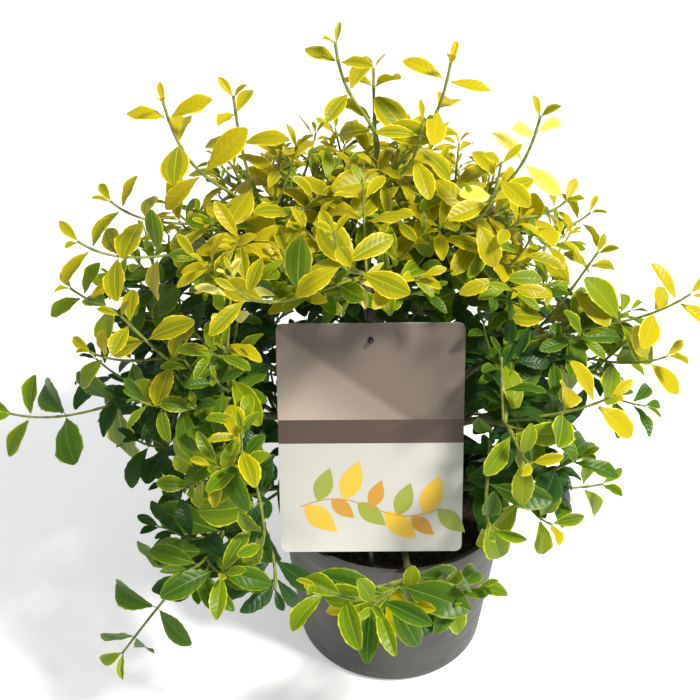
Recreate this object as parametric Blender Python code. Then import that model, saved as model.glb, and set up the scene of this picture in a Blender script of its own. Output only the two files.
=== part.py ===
"""A golden Japanese spindle, a small evergreen shrub, growing in a round nursery pot.

A short stem stands in the pot's soil and carries tapering boughs, one to each mass of foliage.
Every mass grows by one rule. Shoot tips are spread over a dome, a few long leaders stand out of
it, and each tip belongs to the nearest mass. A shoot leaves its mass's stem, bends up towards
its tip, and carries opposite pairs of leaves, each pair at a right angle to the next.

Units are metres, +Z is up, -Y is the front, and the origin is the middle of the pot's underside.
"""

import math

import bmesh
import bpy
import numpy as np
from mathutils import Matrix
from mathutils.bvhtree import BVHTree

GAP = 0.0003  # air left between two solids that meet
UP = np.array([0.0, 0.0, 1.0])
GOLDEN_ANGLE = math.pi * (3.0 - math.sqrt(5.0))

# Pot and soil
POT_HEIGHT = 0.108
POT_FOOT_RADIUS = 0.0575
POT_RIM_RADIUS = 0.070
POT_WALL = 0.0018
POT_FLOOR = 0.0035
POT_SIDES = 42
RIM_BAND_HEIGHT = 0.018
RIM_BAND_STEP = 0.0011
RIM_ROUNDING = 0.0007
FOOT_CHAMFER = 0.0028
NOTCH_COUNT = 4
NOTCH_AZIMUTH = math.radians(-17.5)
NOTCH_WIDTH = 0.009
NOTCH_HEIGHT = 0.0022
NOTCH_DEPTH = 0.004
DRAIN_HOLES = 5
DRAIN_RING_RADIUS = 0.036
DRAIN_AZIMUTH = math.radians(9.0)
DRAIN_RADIUS = 0.004
SOIL_TOP = 0.095
SOIL_SHOULDER = 0.003  # how far the soil slopes down towards the pot's wall
SOIL_FLAT_RADIUS = 0.043

# Label: a card that leans back on a holder pushed into the soil
CARD_WIDTH = 0.102
CARD_HEIGHT = 0.134
CARD_THICKNESS = 0.0008
CARD_CORNER = 0.004
CARD_FOOT = (-0.014, -0.0588, 0.1135)  # middle of the card's lower edge
CARD_LEAN = math.radians(19.0)
CARD_ROLL = math.radians(0.4)
HOLDER_RADIUS = 0.0018
HOLDER_BEND = 0.012  # height over the soil at which the holder turns upright
HOLDER_DEPTH = 0.034  # how far it goes into the soil
KNOB_RADIUS = 0.0028
KNOB_HEIGHT = 0.0085
PEG_RADIUS = 0.0015
PEG_DROP = 0.0095  # the peg's distance below the card's upper edge
PEG_REACH = 0.0045
CUTTER_DEPTH = 0.02  # of the round cutters for the drain holes and the peg's hole

# Stem and boughs
TRUNK_FOOT = np.array([0.002, 0.004, SOIL_TOP + GAP])
TRUNK_TIP = np.array([-0.016, 0.008, 0.262])
TRUNK_PULLS = (0.35, 0.30)  # how long the stem stays upright at each end, as shares of its rise
TRUNK_RADIUS = 0.0068
TRUNK_TIP_RADIUS = 0.0030
FLARE_RADIUS = 0.0105
FLARE_HEIGHT = 0.012
BOUGH_RADIUS = 0.0026
BOUGH_TIP_RADIUS = 0.0018
BOUGH_SPRING = 0.014  # length over which a bough that goes round the label leaves the stem
BOUGH_SHARE = 0.52  # how much of the way from stem to mass the bough covers
BOUGH_PULLS = (0.4, 0.3)
BOUGH_RISES = (0.35, 0.55)  # slope at which a bough leaves the stem: lowest ring, rings above it
LOWEST_RING_TOP = 0.2
BOUGH_LIFT = 0.25  # how much a bough's end turns up from the straight way to its mass

# Crown: the dome that the shoot tips are spread over
CROWN_HEART = np.array([-0.018, 0.0, 0.165])
CROWN_REACH_X = 0.155
CROWN_REACH_Y = 0.148
CROWN_REACH_UP = 0.166
CROWN_REACH_DOWN = 0.061
CROWN_LOWEST = -0.38  # sine of the lowest tip's angle, seen from the heart
TIP_COUNT = 97
TIP_REACH = (0.84, 1.02)
TIP_JITTER = 0.12  # radians
INNER_TIP_COUNT = 16
INNER_TIP_REACH = (0.55, 0.72)
LEADER_ROOM = 0.040  # dome tips this close to a leader's tip are left out
OPEN_SIDE = np.array([-0.148, -0.062, 0.158])  # the crown is open here, low on its left
OPEN_SIDE_ROOM = 0.036

# Masses of foliage: rings of centres round the heart, as count, first azimuth, step, radius and
# height, and the height on the stem at which the ring's boughs leave it
RINGS = (
    (6, -90.0, 60.0, 0.100, 0.150, 0.1065),
    (6, -45.0, 54.0, 0.104, 0.218, 0.156),
    (3, -180.0, 90.0, 0.056, 0.300, 0.246),
)
BOUGH_STAGGER = 0.005
TOP_MASS = np.array([-0.014, 0.002, 0.352])
FRONT_MASS = np.array([0.006, -0.104, 0.131])  # under the label, so lower than its ring
FRONT_ROUTE = ((0.004, -0.030, 0.1015), (0.006, -0.056, 0.1035), (0.006, -0.074, 0.1165))
CARD_DETOUR = 0.010  # how far a bough that goes round the label keeps from its edge
CELL_MARGIN = 0.0006  # half of the least distance between two masses

# Long shoots that stand out of the dome, by the place of their tips
LEADER_TIPS = (
    (-0.033, 0.000, 0.392),  # tallest
    (-0.014, 0.030, 0.366),
    (0.022, -0.005, 0.384),
    (0.009, -0.022, 0.362),
    (0.068, 0.000, 0.354),
    (0.045, -0.042, 0.350),
    (-0.084, 0.010, 0.360),
    (-0.116, -0.010, 0.366),
    (-0.150, 0.002, 0.305),
    (-0.162, -0.030, 0.300),
    (-0.178, 0.004, 0.250),
    (-0.139, -0.060, 0.276),
    (-0.213, -0.030, 0.190),  # long one to the left
    (-0.106, -0.100, 0.200),
    (-0.151, -0.108, 0.084),  # hangs over the pot's side
    (-0.070, -0.118, 0.176),
    (0.008, -0.122, 0.138),  # in front of the pot
    (0.032, -0.112, 0.136),
    (-0.024, -0.114, 0.130),
    (0.046, -0.110, 0.178),
    (0.064, -0.098, 0.213),
    (0.106, -0.070, 0.233),
    (0.152, -0.020, 0.262),  # long one to the right
    (0.108, 0.012, 0.268),
    (0.088, 0.012, 0.300),
    (-0.033, -0.088, 0.340),
    (-0.077, -0.094, 0.312),
    (-0.006, -0.055, 0.356),
    (0.084, -0.070, 0.145),
    (0.132, 0.000, 0.150),
    (-0.035, 0.150, 0.250),
    (0.060, 0.140, 0.215),
    (-0.120, 0.110, 0.235),
    (0.103, 0.020, 0.288),
    (0.146, -0.020, 0.222),
    (0.118, -0.034, 0.142),
    (-0.166, -0.022, 0.226),
    (0.002, -0.068, 0.286),  # over the label
    (-0.036, -0.068, 0.284),
    (0.030, -0.066, 0.282),
)

# Short shoots whose leaves fill in beside the label's two edges, by height along the card
FRINGE_HEIGHTS = (0.035, 0.072, 0.110)
FRINGE_OUT = 0.017
READING_SIDE = np.array([0.0, -0.767, 0.641])  # the label's face is kept open from here
LABEL_ROOM = 0.002
HOLDER_ROOM = (0.006, 0.009)
HOLDER_SPAN = (-0.030, 0.003)  # kept open below the card's foot and above the knob
FLOOR_ROOM = 0.004

# Shoots and leaves
SEED = 31
STEM_RADIUS = 0.0022
SHOOT_RADIUS = 0.0016
SHOOT_FOOT_RADIUS = 0.0010  # inside the stem, where the shoot starts
SHOOT_TIP_RADIUS = 0.0011
SHOOT_STEPS = 4
STEM_PULLS = (0.4, 0.1)
HEART_SHIFT = 0.3  # how far a mass's stem leans from its centre towards the middle of its tips
STEM_SHARE = 0.78  # how much of the way to that heart the stem covers
SHOOT_PULLS = (0.34, 0.36)
TIP_PULL = 1.4  # how much more a shoot sets off towards its tip than along its stem
UPTURN = 0.9  # how strongly a shoot's end turns up to the light
RISER_FROM = 0.336  # a shoot whose tip is above this height ends almost upright
RISER_UPTURN = 2.6
RISER_PULL = 0.58
HANG = 0.6  # how strongly the end of a low shoot turns down
HANG_BELOW = 0.03  # a shoot whose tip is this far below the crown's heart hangs
SHOOT_SHIFTS = (0.0, 0.15, -0.15, 0.3, -0.3, 0.5, -0.5)  # other places on the stem to try
SHOOT_BENDS = (1.0, 0.5, 0.0)  # and how much of its bend the shoot keeps
FIRST_SHOOT_SHARE = 0.12  # where on a mass's stem its widest shoot leaves it
LEVEL_FROM = 0.55  # a shoot that leans more than this sine carries its pairs level
LEAFY_SHARE = 0.72  # outer share of a shoot that carries leaves
PAIR_SPACING = 0.0272
TIP_PAIR_OFFSET = 0.0055
LEAF_LENGTH = 0.046
TIP_LEAF_LENGTH = 0.024
LEADER_LEAF_SHARE = 0.75  # a leader's leaves are smaller
LEAF_WIDTH_SHARE = 0.60
LEAF_THICKNESS = 0.0015
LEAF_SINK = 0.0003  # how far a leaf's root runs past the middle of its shoot
LEAF_WIDEST = 0.54  # where along its length a leaf is widest
LEAF_CREST = 0.40  # and where its blade is thickest
LEAF_ARCH = 0.02
LEAF_END = 0.97
LEAF_FOLD = math.radians(22.0)
LEAF_DROOP = 0.20  # drop of the leaf's tip, as a share of its length
TIP_SPREAD = math.radians(34.0)  # angle of the tip pair from its shoot
LEAF_SPREAD = (math.radians(52.0), math.radians(74.0))
LEAF_SIZES = (0.82, 1.08)
PAIR_JITTER = 0.1  # radians
SECOND_PAIR = 0.55  # the second pair's distance from the tip, in pair spacings
BARE_SHARE = 0.15  # inner share of a shoot that never carries a leaf
LEVEL_SLOPE = 0.25  # a shoot flatter than this starts to turn its leaves level
LIGHT_PULL = (0.6, 0.8)  # a leaf faces along its shoot and up, in these shares
LEAF_TRIES = (  # sideways turn, lift and scale to try, in this order, until a leaf has room
    (0.0, 0.0, 1.0),
    (0.35, 0.0, 1.0),
    (-0.35, 0.0, 1.0),
    (0.0, 0.4, 0.95),
    (0.6, 0.2, 0.9),
    (-0.6, 0.2, 0.9),
    (0.0, 0.0, 0.78),
    (0.3, 0.4, 0.75),
    (-0.3, 0.4, 0.75),
)
LEAF_NECK = 0.006  # the length at a leaf's root that may touch its own shoot
LEAF_CLEARANCE = 0.0012  # least distance from a leaf to a limb, the pot or the label


def unit(vector):
    return vector / np.linalg.norm(vector)


def material(name, colour, roughness):
    made = bpy.data.materials.new(name)
    made.use_nodes = True
    shader = made.node_tree.nodes["Principled BSDF"]
    shader.inputs["Base Color"].default_value = (*colour, 1.0)
    shader.inputs["Roughness"].default_value = roughness
    made.diffuse_color = (*colour, 1.0)
    return made


def add_object(name, mesh, paint, into=None):
    made = bpy.data.objects.new(name, mesh)
    mesh.materials.append(paint)
    (into or bpy.context.scene.collection).objects.link(made)
    return made


def mesh_of(name, vertices, faces):
    mesh = bpy.data.meshes.new(name)
    mesh.from_pydata([tuple(v) for v in vertices], [], faces)
    return mesh


def turned_mesh(name, profile, sides):
    """A closed profile of (radius, height) points, spun round the Z axis."""
    shape = bmesh.new()
    points = [shape.verts.new((radius, 0.0, height)) for radius, height in profile]
    edges = [shape.edges.new(pair) for pair in zip(points, points[1:])]
    bmesh.ops.spin(
        shape, geom=points + edges, axis=(0, 0, 1), cent=(0, 0, 0), steps=sides, angle=2 * math.pi
    )
    bmesh.ops.remove_doubles(shape, verts=shape.verts, dist=1e-6)
    bmesh.ops.recalc_face_normals(shape, faces=shape.faces)
    mesh = bpy.data.meshes.new(name)
    shape.to_mesh(mesh)
    shape.free()
    mesh.shade_smooth()
    mesh.set_sharp_from_angle(angle=math.radians(30))
    return mesh


def cylinder_mesh(name, radius, depth, sides):
    shape = bmesh.new()
    bmesh.ops.create_cone(
        shape, cap_ends=True, segments=sides, radius1=radius, radius2=radius, depth=depth
    )
    mesh = bpy.data.meshes.new(name)
    shape.to_mesh(mesh)
    shape.free()
    return mesh


def box_mesh(name, size):
    shape = bmesh.new()
    bmesh.ops.create_cube(shape, size=1.0, matrix=Matrix.Diagonal((*size, 1.0)))
    mesh = bpy.data.meshes.new(name)
    shape.to_mesh(mesh)
    shape.free()
    return mesh


def boolean(target, helper, operation):
    """Keeps the Boolean as a modifier, with its other shape out of the render."""
    helper.hide_render = True
    helper.display_type = "WIRE"
    step = target.modifiers.new(helper.name, "BOOLEAN")
    step.operation = operation
    step.solver = "EXACT"
    step.object = helper


def curve_points(start, start_pull, end_pull, end, count):
    """Points along a cubic Bezier curve, its two inner control points given outright."""
    t = np.linspace(0.0, 1.0, count)[:, None]
    return (
        (1 - t) ** 3 * start
        + 3 * t * (1 - t) ** 2 * start_pull
        + 3 * t**2 * (1 - t) * end_pull
        + t**3 * end
    )


def smooth_route(points, count):
    """Points along a Catmull-Rom curve through the route's own points."""
    points = np.asarray(points, float)
    ends = [2 * points[0] - points[1], *points, 2 * points[-1] - points[-2]]
    found = []
    for at in np.linspace(0.0, len(points) - 1.0001, count):
        first = int(at)
        t = at - first
        a, b, c, d = ends[first : first + 4]
        bend = (2 * a - 5 * b + 4 * c - d) * t**2 + (3 * b - a - 3 * c + d) * t**3
        found.append(b + 0.5 * ((c - a) * t + bend))
    return np.array(found)


def frames_along(points):
    """Tangents, and the two cross directions carried along the path without twisting."""
    tangents = np.gradient(points, axis=0)
    tangents[0] = points[1] - points[0]
    tangents[-1] = points[-1] - points[-2]
    tangents /= np.linalg.norm(tangents, axis=1)[:, None]
    side = unit(np.cross(tangents[0], UP if abs(tangents[0][2]) < 0.9 else (1.0, 0.0, 0.0)))
    sides = []
    for tangent in tangents:
        side = unit(side - tangent * (side @ tangent))
        sides.append(side)
    sides = np.array(sides)
    return tangents, sides, np.cross(tangents, sides)


def tube_shape(points, radii, corners, turn=0.0):
    """Vertices and faces of a capped tube."""
    _, sides, crosses = frames_along(points)
    angles = turn + np.arange(corners) * 2 * math.pi / corners
    rings = (
        points[:, None]
        + np.asarray(radii)[:, None, None]
        * (
            np.cos(angles)[None, :, None] * sides[:, None]
            + np.sin(angles)[None, :, None] * crosses[:, None]
        )
    )
    faces = [tuple(reversed(range(corners)))]
    for ring in range(len(points) - 1):
        low = ring * corners
        for i in range(corners):
            j = (i + 1) % corners
            faces.append((low + i, low + j, low + corners + j, low + corners + i))
    last = (len(points) - 1) * corners
    faces.append(tuple(range(last, last + corners)))
    return rings.reshape(-1, 3), faces


def make_pot(paint):
    def outer(height):
        slope = (POT_RIM_RADIUS - RIM_BAND_STEP - POT_FOOT_RADIUS) / POT_HEIGHT
        return POT_FOOT_RADIUS + slope * height

    band = POT_HEIGHT - RIM_BAND_HEIGHT
    profile = [
        (0.0, 0.0),
        (POT_FOOT_RADIUS - FOOT_CHAMFER, 0.0),
        (outer(FOOT_CHAMFER), FOOT_CHAMFER),
        (outer(band), band),
        (outer(band) + RIM_BAND_STEP, band + RIM_BAND_STEP),
        (POT_RIM_RADIUS, POT_HEIGHT - RIM_ROUNDING),
        (POT_RIM_RADIUS - RIM_ROUNDING, POT_HEIGHT),
        (inner_radius(POT_HEIGHT), POT_HEIGHT),
        (inner_radius(POT_FLOOR), POT_FLOOR),
        (0.0, POT_FLOOR),
    ]
    pot = add_object("pot", turned_mesh("pot", profile, POT_SIDES), paint)
    for i in range(DRAIN_HOLES):
        azimuth = DRAIN_AZIMUTH + 2 * math.pi * i / DRAIN_HOLES
        cutter = cylinder_mesh("drain", DRAIN_RADIUS, CUTTER_DEPTH, 12)
        hole = add_object(f"drain_cutter_{i}", cutter, paint)
        hole.location = (
            DRAIN_RING_RADIUS * math.cos(azimuth),
            DRAIN_RING_RADIUS * math.sin(azimuth),
            0.0,
        )
        hole.rotation_euler = (0.0, 0.0, 2 * azimuth)
        boolean(pot, hole, "DIFFERENCE")
    size = (2 * NOTCH_DEPTH, NOTCH_WIDTH, 2 * NOTCH_HEIGHT)
    for i in range(NOTCH_COUNT):
        azimuth = NOTCH_AZIMUTH + 2 * math.pi * i / NOTCH_COUNT
        notch = add_object(f"notch_cutter_{i}", box_mesh("notch", size), paint)
        notch.location = (
            POT_FOOT_RADIUS * math.cos(azimuth),
            POT_FOOT_RADIUS * math.sin(azimuth),
            0.0,
        )
        notch.rotation_euler = (0.0, 0.0, azimuth)
        boolean(pot, notch, "DIFFERENCE")
    return pot


def inner_radius(height):
    """The pot's inner radius: its outer slope, one wall further in."""
    slope = (POT_RIM_RADIUS - RIM_BAND_STEP - POT_FOOT_RADIUS) / POT_HEIGHT
    return POT_FOOT_RADIUS + slope * height - POT_WALL


def make_soil(paint):
    shoulder = SOIL_TOP - SOIL_SHOULDER
    floor = POT_FLOOR + GAP
    profile = [
        (0.0, floor),
        (inner_radius(floor) - GAP, floor),
        (inner_radius(shoulder) - GAP, shoulder),
        (SOIL_FLAT_RADIUS, SOIL_TOP),
        (0.0, SOIL_TOP),
    ]
    return add_object("soil", turned_mesh("soil", profile, POT_SIDES), paint)


def label_matrix():
    """The card's frame: X across it, Y up along it, Z out of its printed face."""
    lean = Matrix.Rotation(math.pi / 2 - CARD_LEAN, 4, "X")
    roll = Matrix.Rotation(CARD_ROLL, 4, "Z")
    return Matrix.Translation(CARD_FOOT) @ lean @ roll


def on_label(x, y, z):
    return np.array(label_matrix() @ Matrix.Translation((x, y, z)).to_translation())


def rounded_card():
    """A rectangle with quarter-circle corners, extruded to the card's thickness."""
    outline = []
    for across, along, first in ((1, 0, -90), (1, 1, 0), (-1, 1, 90), (-1, 0, 180)):
        x = across * (CARD_WIDTH / 2 - CARD_CORNER)
        y = CARD_HEIGHT * along + CARD_CORNER * (1 - 2 * along)
        for step in range(6):
            angle = math.radians(first + 90 * step / 5)
            outline.append((x + CARD_CORNER * math.cos(angle), y + CARD_CORNER * math.sin(angle)))
    shape = bmesh.new()
    face = shape.faces.new([shape.verts.new((x, y, -CARD_THICKNESS / 2)) for x, y in outline])
    risen = bmesh.ops.extrude_face_region(shape, geom=[face])["geom"]
    corners = [v for v in risen if isinstance(v, bmesh.types.BMVert)]
    bmesh.ops.translate(shape, verts=corners, vec=(0, 0, CARD_THICKNESS))
    bmesh.ops.recalc_face_normals(shape, faces=shape.faces)
    mesh = bpy.data.meshes.new("label_card")
    shape.to_mesh(mesh)
    shape.free()
    return mesh


def make_label(card_paint, holder_paint, soil):
    frame = label_matrix()
    card = add_object("label_card", rounded_card(), card_paint)
    card.matrix_world = frame
    cutter = cylinder_mesh("hole", PEG_RADIUS + GAP, CUTTER_DEPTH, 14)
    hole = add_object("peg_hole", cutter, card_paint)
    hole.matrix_world = frame @ Matrix.Translation((0, CARD_HEIGHT - PEG_DROP, 0))
    boolean(card, hole, "DIFFERENCE")

    behind = -(CARD_THICKNESS / 2 + GAP + HOLDER_RADIUS)
    top = CARD_HEIGHT + 2 * GAP
    route = [on_label(0, top - step, behind) for step in (0.0, 0.05, 0.10)]
    low = on_label(0, 0.012, behind)
    foot = np.array([low[0], low[1] - 0.006, SOIL_TOP])
    route += [low, foot + UP * HOLDER_BEND, foot, foot - UP * HOLDER_DEPTH]
    rod = smooth_route(route, 17)
    radii = np.full(len(rod), HOLDER_RADIUS)
    radii[-2:] = HOLDER_RADIUS * 0.7, HOLDER_RADIUS * 0.3
    knob_turns = np.linspace(0.0, 1.0, 7)
    knob = np.array(
        [on_label(0, top + GAP + KNOB_HEIGHT * (1 - t), behind) for t in knob_turns]
    )
    knob_radii = KNOB_RADIUS * np.sqrt(1 - (1 - knob_turns) ** 2) + 0.0004
    points = np.vstack([knob, rod])
    widths = np.concatenate([knob_radii, radii])
    holder = add_object(
        "label_holder", mesh_of("label_holder", *tube_shape(points, widths, 8)), holder_paint
    )
    peg_length = PEG_REACH + CARD_THICKNESS / 2 - behind
    peg = add_object("peg", cylinder_mesh("peg", PEG_RADIUS, peg_length, 12), holder_paint)
    peg.matrix_world = frame @ Matrix.Translation(
        (0, CARD_HEIGHT - PEG_DROP, behind + peg_length / 2)
    )
    boolean(holder, peg, "UNION")

    shape = mesh_of("socket", *tube_shape(points, widths + GAP * 1.3, 8))
    socket = add_object("holder_socket", shape, holder_paint)
    socket.location = (0.0, 0.0, -GAP)
    boolean(soil, socket, "DIFFERENCE")


def trunk_path(count):
    """The stem leaves the soil upright and leans towards the crown's heart."""
    rise = TRUNK_TIP[2] - TRUNK_FOOT[2]
    low, high = TRUNK_PULLS
    return curve_points(
        TRUNK_FOOT, TRUNK_FOOT + UP * rise * low, TRUNK_TIP - UP * rise * high, TRUNK_TIP, count
    )


def trunk_radius(height):
    """A steady taper, widened near the soil by the root flare."""
    share = (height - TRUNK_FOOT[2]) / (TRUNK_TIP[2] - TRUNK_FOOT[2])
    plain = TRUNK_RADIUS + (TRUNK_TIP_RADIUS - TRUNK_RADIUS) * share
    near = np.clip(1 - (height - TRUNK_FOOT[2]) / FLARE_HEIGHT, 0, 1)
    return plain + (FLARE_RADIUS - TRUNK_RADIUS) * near**2


def trunk_point(height):
    path = trunk_path(60)
    return np.array([np.interp(height, path[:, 2], path[:, axis]) for axis in range(3)])


def mass_centres():
    """Each mass's centre, with the height at which its bough leaves the stem."""
    found = []
    for count, first, turn, radius, height, leaves_at in RINGS:
        for i in range(count):
            azimuth = math.radians(first + turn * i)
            across = np.array([math.cos(azimuth), math.sin(azimuth), 0.0])
            centre = CROWN_HEART + across * radius
            centre[2] = height
            found.append((centre, leaves_at + BOUGH_STAGGER * (i % 2)))
    found[0] = (FRONT_MASS, found[0][1])
    found.append((TOP_MASS, None))
    return found


def way_round_card(start, centre):
    """A point just behind the card's nearer edge, where the straight way would cross the card."""
    to_card = label_matrix().inverted()
    low = np.array(to_card @ Matrix.Translation(start).to_translation())
    high = np.array(to_card @ Matrix.Translation(centre).to_translation())
    if low[2] * high[2] > 0:
        return None
    x, y, _ = low + (high - low) * low[2] / (low[2] - high[2])
    half = CARD_WIDTH / 2 + CARD_DETOUR
    if abs(x) > half or y > CARD_HEIGHT + CARD_DETOUR:
        return None
    return on_label(math.copysign(half, x), y, -CARD_DETOUR)


def bough_path(centre, leaves_at, is_front):
    """From the stem's bark out to the edge of its mass: steep at first, then towards its centre."""
    start = trunk_point(leaves_at)
    if is_front:
        route = [np.array(point) for point in FRONT_ROUTE]
        first = unit(route[0] - start)
        slant = BOUGH_RADIUS * abs(first[2])
        start = start + first * (trunk_radius(leaves_at - 2 * BOUGH_RADIUS) + slant + 3 * GAP)
        return smooth_route([start, *route], 8)
    away = centre - start
    away[2] = 0.0
    first = unit(unit(away) + UP * BOUGH_RISES[int(centre[2] > LOWEST_RING_TOP)])
    clear = trunk_radius(leaves_at - BOUGH_RADIUS) + GAP + BOUGH_RADIUS * first[2]
    start = start + unit(away) * clear
    detour = way_round_card(start, centre)
    if detour is not None:
        end = detour + (centre - detour) * BOUGH_SHARE / 2
        start = start + unit(away) * GAP
        return smooth_route([start, start + first * BOUGH_SPRING, detour, end], 8)
    end = start + (centre - start) * BOUGH_SHARE
    length = np.linalg.norm(end - start)
    last = unit(unit(centre - start) + UP * BOUGH_LIFT)
    first_pull = first * length * BOUGH_PULLS[0]
    last_pull = last * length * BOUGH_PULLS[1]
    return curve_points(start, start + first_pull, end - last_pull, end, 7)


class Space:
    """What a mass has to keep clear of: its neighbours' cells, the limbs, the pot and the label."""

    def __init__(self, centres, limbs):
        self.centres = np.array(centres)
        self.starts = np.vstack([path[:-1] for path, _ in limbs])
        self.ends = np.vstack([path[1:] for path, _ in limbs])
        self.radii = np.concatenate([np.asarray(radii)[:-1] for _, radii in limbs])
        frame = np.array(label_matrix())
        self.card_frame = np.linalg.inv(frame)
        self.sight = unit(self.card_frame[:3, :3] @ READING_SIDE)

    def in_cell(self, points, home):
        others = np.delete(self.centres, home, axis=0)
        own = self.centres[home]
        axes = others - own
        axes /= np.linalg.norm(axes, axis=1)[:, None]
        middles = (others + own) / 2
        depth = np.einsum("pkx,kx->pk", points[:, None] - middles[None], axes)
        return bool((depth < -CELL_MARGIN).all())

    def limb_distance(self, points):
        along = self.ends - self.starts
        reach = points[:, None] - self.starts[None]
        share = np.clip((reach * along).sum(2) / (along**2).sum(1), 0, 1)
        nearest = self.starts + share[..., None] * along
        return np.linalg.norm(points[:, None] - nearest, axis=2) - self.radii

    def clear_of_pot(self, points):
        across = np.hypot(points[:, 0], points[:, 1])
        over = points[:, 2] > POT_HEIGHT + LEAF_CLEARANCE
        outside = across > POT_RIM_RADIUS + 2 * LEAF_CLEARANCE
        return bool((over | outside).all() and (points[:, 2] > FLOOR_ROOM).all())

    def clear_of_label(self, points):
        """Nothing touches the card or its holder, or hangs across the view onto its face."""
        local = points @ self.card_frame[:3, :3].T + self.card_frame[:3, 3]
        depth = local[:, 2] + 2 * HOLDER_RADIUS + CARD_THICKNESS + LEAF_CLEARANCE
        seen = local - np.clip(local[:, 2:3], 0, None) * self.sight / self.sight[2]
        inside = (np.abs(seen[:, 0]) < CARD_WIDTH / 2 + LABEL_ROOM) & (depth > 0)
        inside &= (seen[:, 1] > -LABEL_ROOM) & (seen[:, 1] < CARD_HEIGHT + LABEL_ROOM)
        rod = (np.abs(local[:, 0]) < HOLDER_ROOM[0]) & (np.abs(local[:, 2]) < HOLDER_ROOM[1])
        rod &= local[:, 1] < CARD_HEIGHT + KNOB_HEIGHT + HOLDER_SPAN[1]
        rod &= local[:, 1] > HOLDER_SPAN[0]
        return not bool((inside | rod).any())

    def holds(self, points, home, limb_room):
        if not self.in_cell(points, home):
            return False
        if not self.clear_of_pot(points) or not self.clear_of_label(points):
            return False
        return bool((self.limb_distance(points) > limb_room).all())


def dome_reach(direction):
    """Distance from the crown's heart to the dome along a direction."""
    height = CROWN_REACH_UP if direction[2] > 0 else CROWN_REACH_DOWN
    scaled = direction / np.array([CROWN_REACH_X, CROWN_REACH_Y, height])
    return 1.0 / np.linalg.norm(scaled)


def shoot_tips(rng):
    """Tips with their leaves' size: leaders, the label's fringe, then the dome between leaders."""
    leaders = np.array(LEADER_TIPS)
    found = [(tip, LEADER_LEAF_SHARE) for tip in leaders]
    for side in (-1, 1):
        for height in FRINGE_HEIGHTS:
            tip = on_label(side * (CARD_WIDTH / 2 + FRINGE_OUT), height, -HOLDER_RADIUS)
            found.append((tip, 1.0))
    for count, reach in ((TIP_COUNT, TIP_REACH), (INNER_TIP_COUNT, INNER_TIP_REACH)):
        for k in range(count):
            rise = 1.0 - (k + 0.5) / count * (1.0 - CROWN_LOWEST)
            azimuth = k * GOLDEN_ANGLE + rng.uniform(-TIP_JITTER, TIP_JITTER)
            flat = math.sqrt(1.0 - rise**2)
            direction = np.array([flat * math.cos(azimuth), flat * math.sin(azimuth), rise])
            tip = CROWN_HEART + direction * dome_reach(direction) * rng.uniform(*reach)
            is_open = np.linalg.norm(tip - OPEN_SIDE) < OPEN_SIDE_ROOM
            if not is_open and np.linalg.norm(tip - leaders, axis=1).min() > LEADER_ROOM:
                found.append((tip, 1.0))
    return found


def shoot_path(start, leave, tip, count, bend=1.0):
    """A shoot sets off with its stem, then turns up to the light, or droops where it hangs low."""
    length = np.linalg.norm(tip - start)
    outward = unit(tip - CROWN_HEART)
    turn, pull = outward + UP * UPTURN, SHOOT_PULLS[1]
    if tip[2] < CROWN_HEART[2] - HANG_BELOW:
        turn = outward - UP * HANG
    elif tip[2] > RISER_FROM:
        turn, pull = UP * RISER_UPTURN, RISER_PULL
    last = unit(unit(tip - start) + turn * bend)
    first_pull = leave * length * SHOOT_PULLS[0]
    last_pull = last * length * pull
    return curve_points(start, start + first_pull, tip - last_pull, tip, count)


def leaf_shape(root, along, facing, length):
    """A folded, drooping kite of eight faces: root, tip, two margins, and a ridge on each side."""
    side = np.cross(facing, along)
    half = length * LEAF_WIDTH_SHARE / 2
    middle = root + (along * LEAF_WIDEST + facing * LEAF_ARCH) * length
    ridge = root + (along * LEAF_CREST + facing * LEAF_ARCH) * length
    margin = facing * half * math.sin(LEAF_FOLD)
    spread = side * half * math.cos(LEAF_FOLD)
    corners = [
        root - along * LEAF_SINK,
        middle + margin - spread,
        root + (along * LEAF_END - facing * LEAF_DROOP) * length,
        middle + margin + spread,
        ridge + facing * LEAF_THICKNESS / 2,
        ridge - facing * LEAF_THICKNESS / 2,
    ]
    over = [(0, 1, 4), (1, 2, 4), (2, 3, 4), (3, 0, 4)]
    under = [(1, 0, 5), (2, 1, 5), (3, 2, 5), (0, 3, 5)]
    return np.array(corners), over + under


def leaf_samples(corners):
    """Points spread over a leaf, close enough together that no limb slips between them."""
    root, right, tip, left, ridge, _ = corners
    found = []
    for margin in (right, left):
        for t in np.linspace(0.15, 1.0, 6):
            for s in np.linspace(0.0, 1.0, 4):
                found.append(root + t * (ridge + s * (margin - ridge) - root))
                found.append(tip + t * (ridge + s * (margin - ridge) - tip))
    return np.array(found)


def first_turn(path, rng):
    """The angle of a shoot's first pair: any on an upright shoot, level on one that lies over."""
    tangents, sides, crosses = frames_along(path)
    level = np.cross(tangents[-1], UP)
    if np.linalg.norm(level) < LEVEL_FROM:
        return rng.uniform(0, math.pi)
    return math.atan2(level @ crosses[-1], level @ sides[-1])


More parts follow.
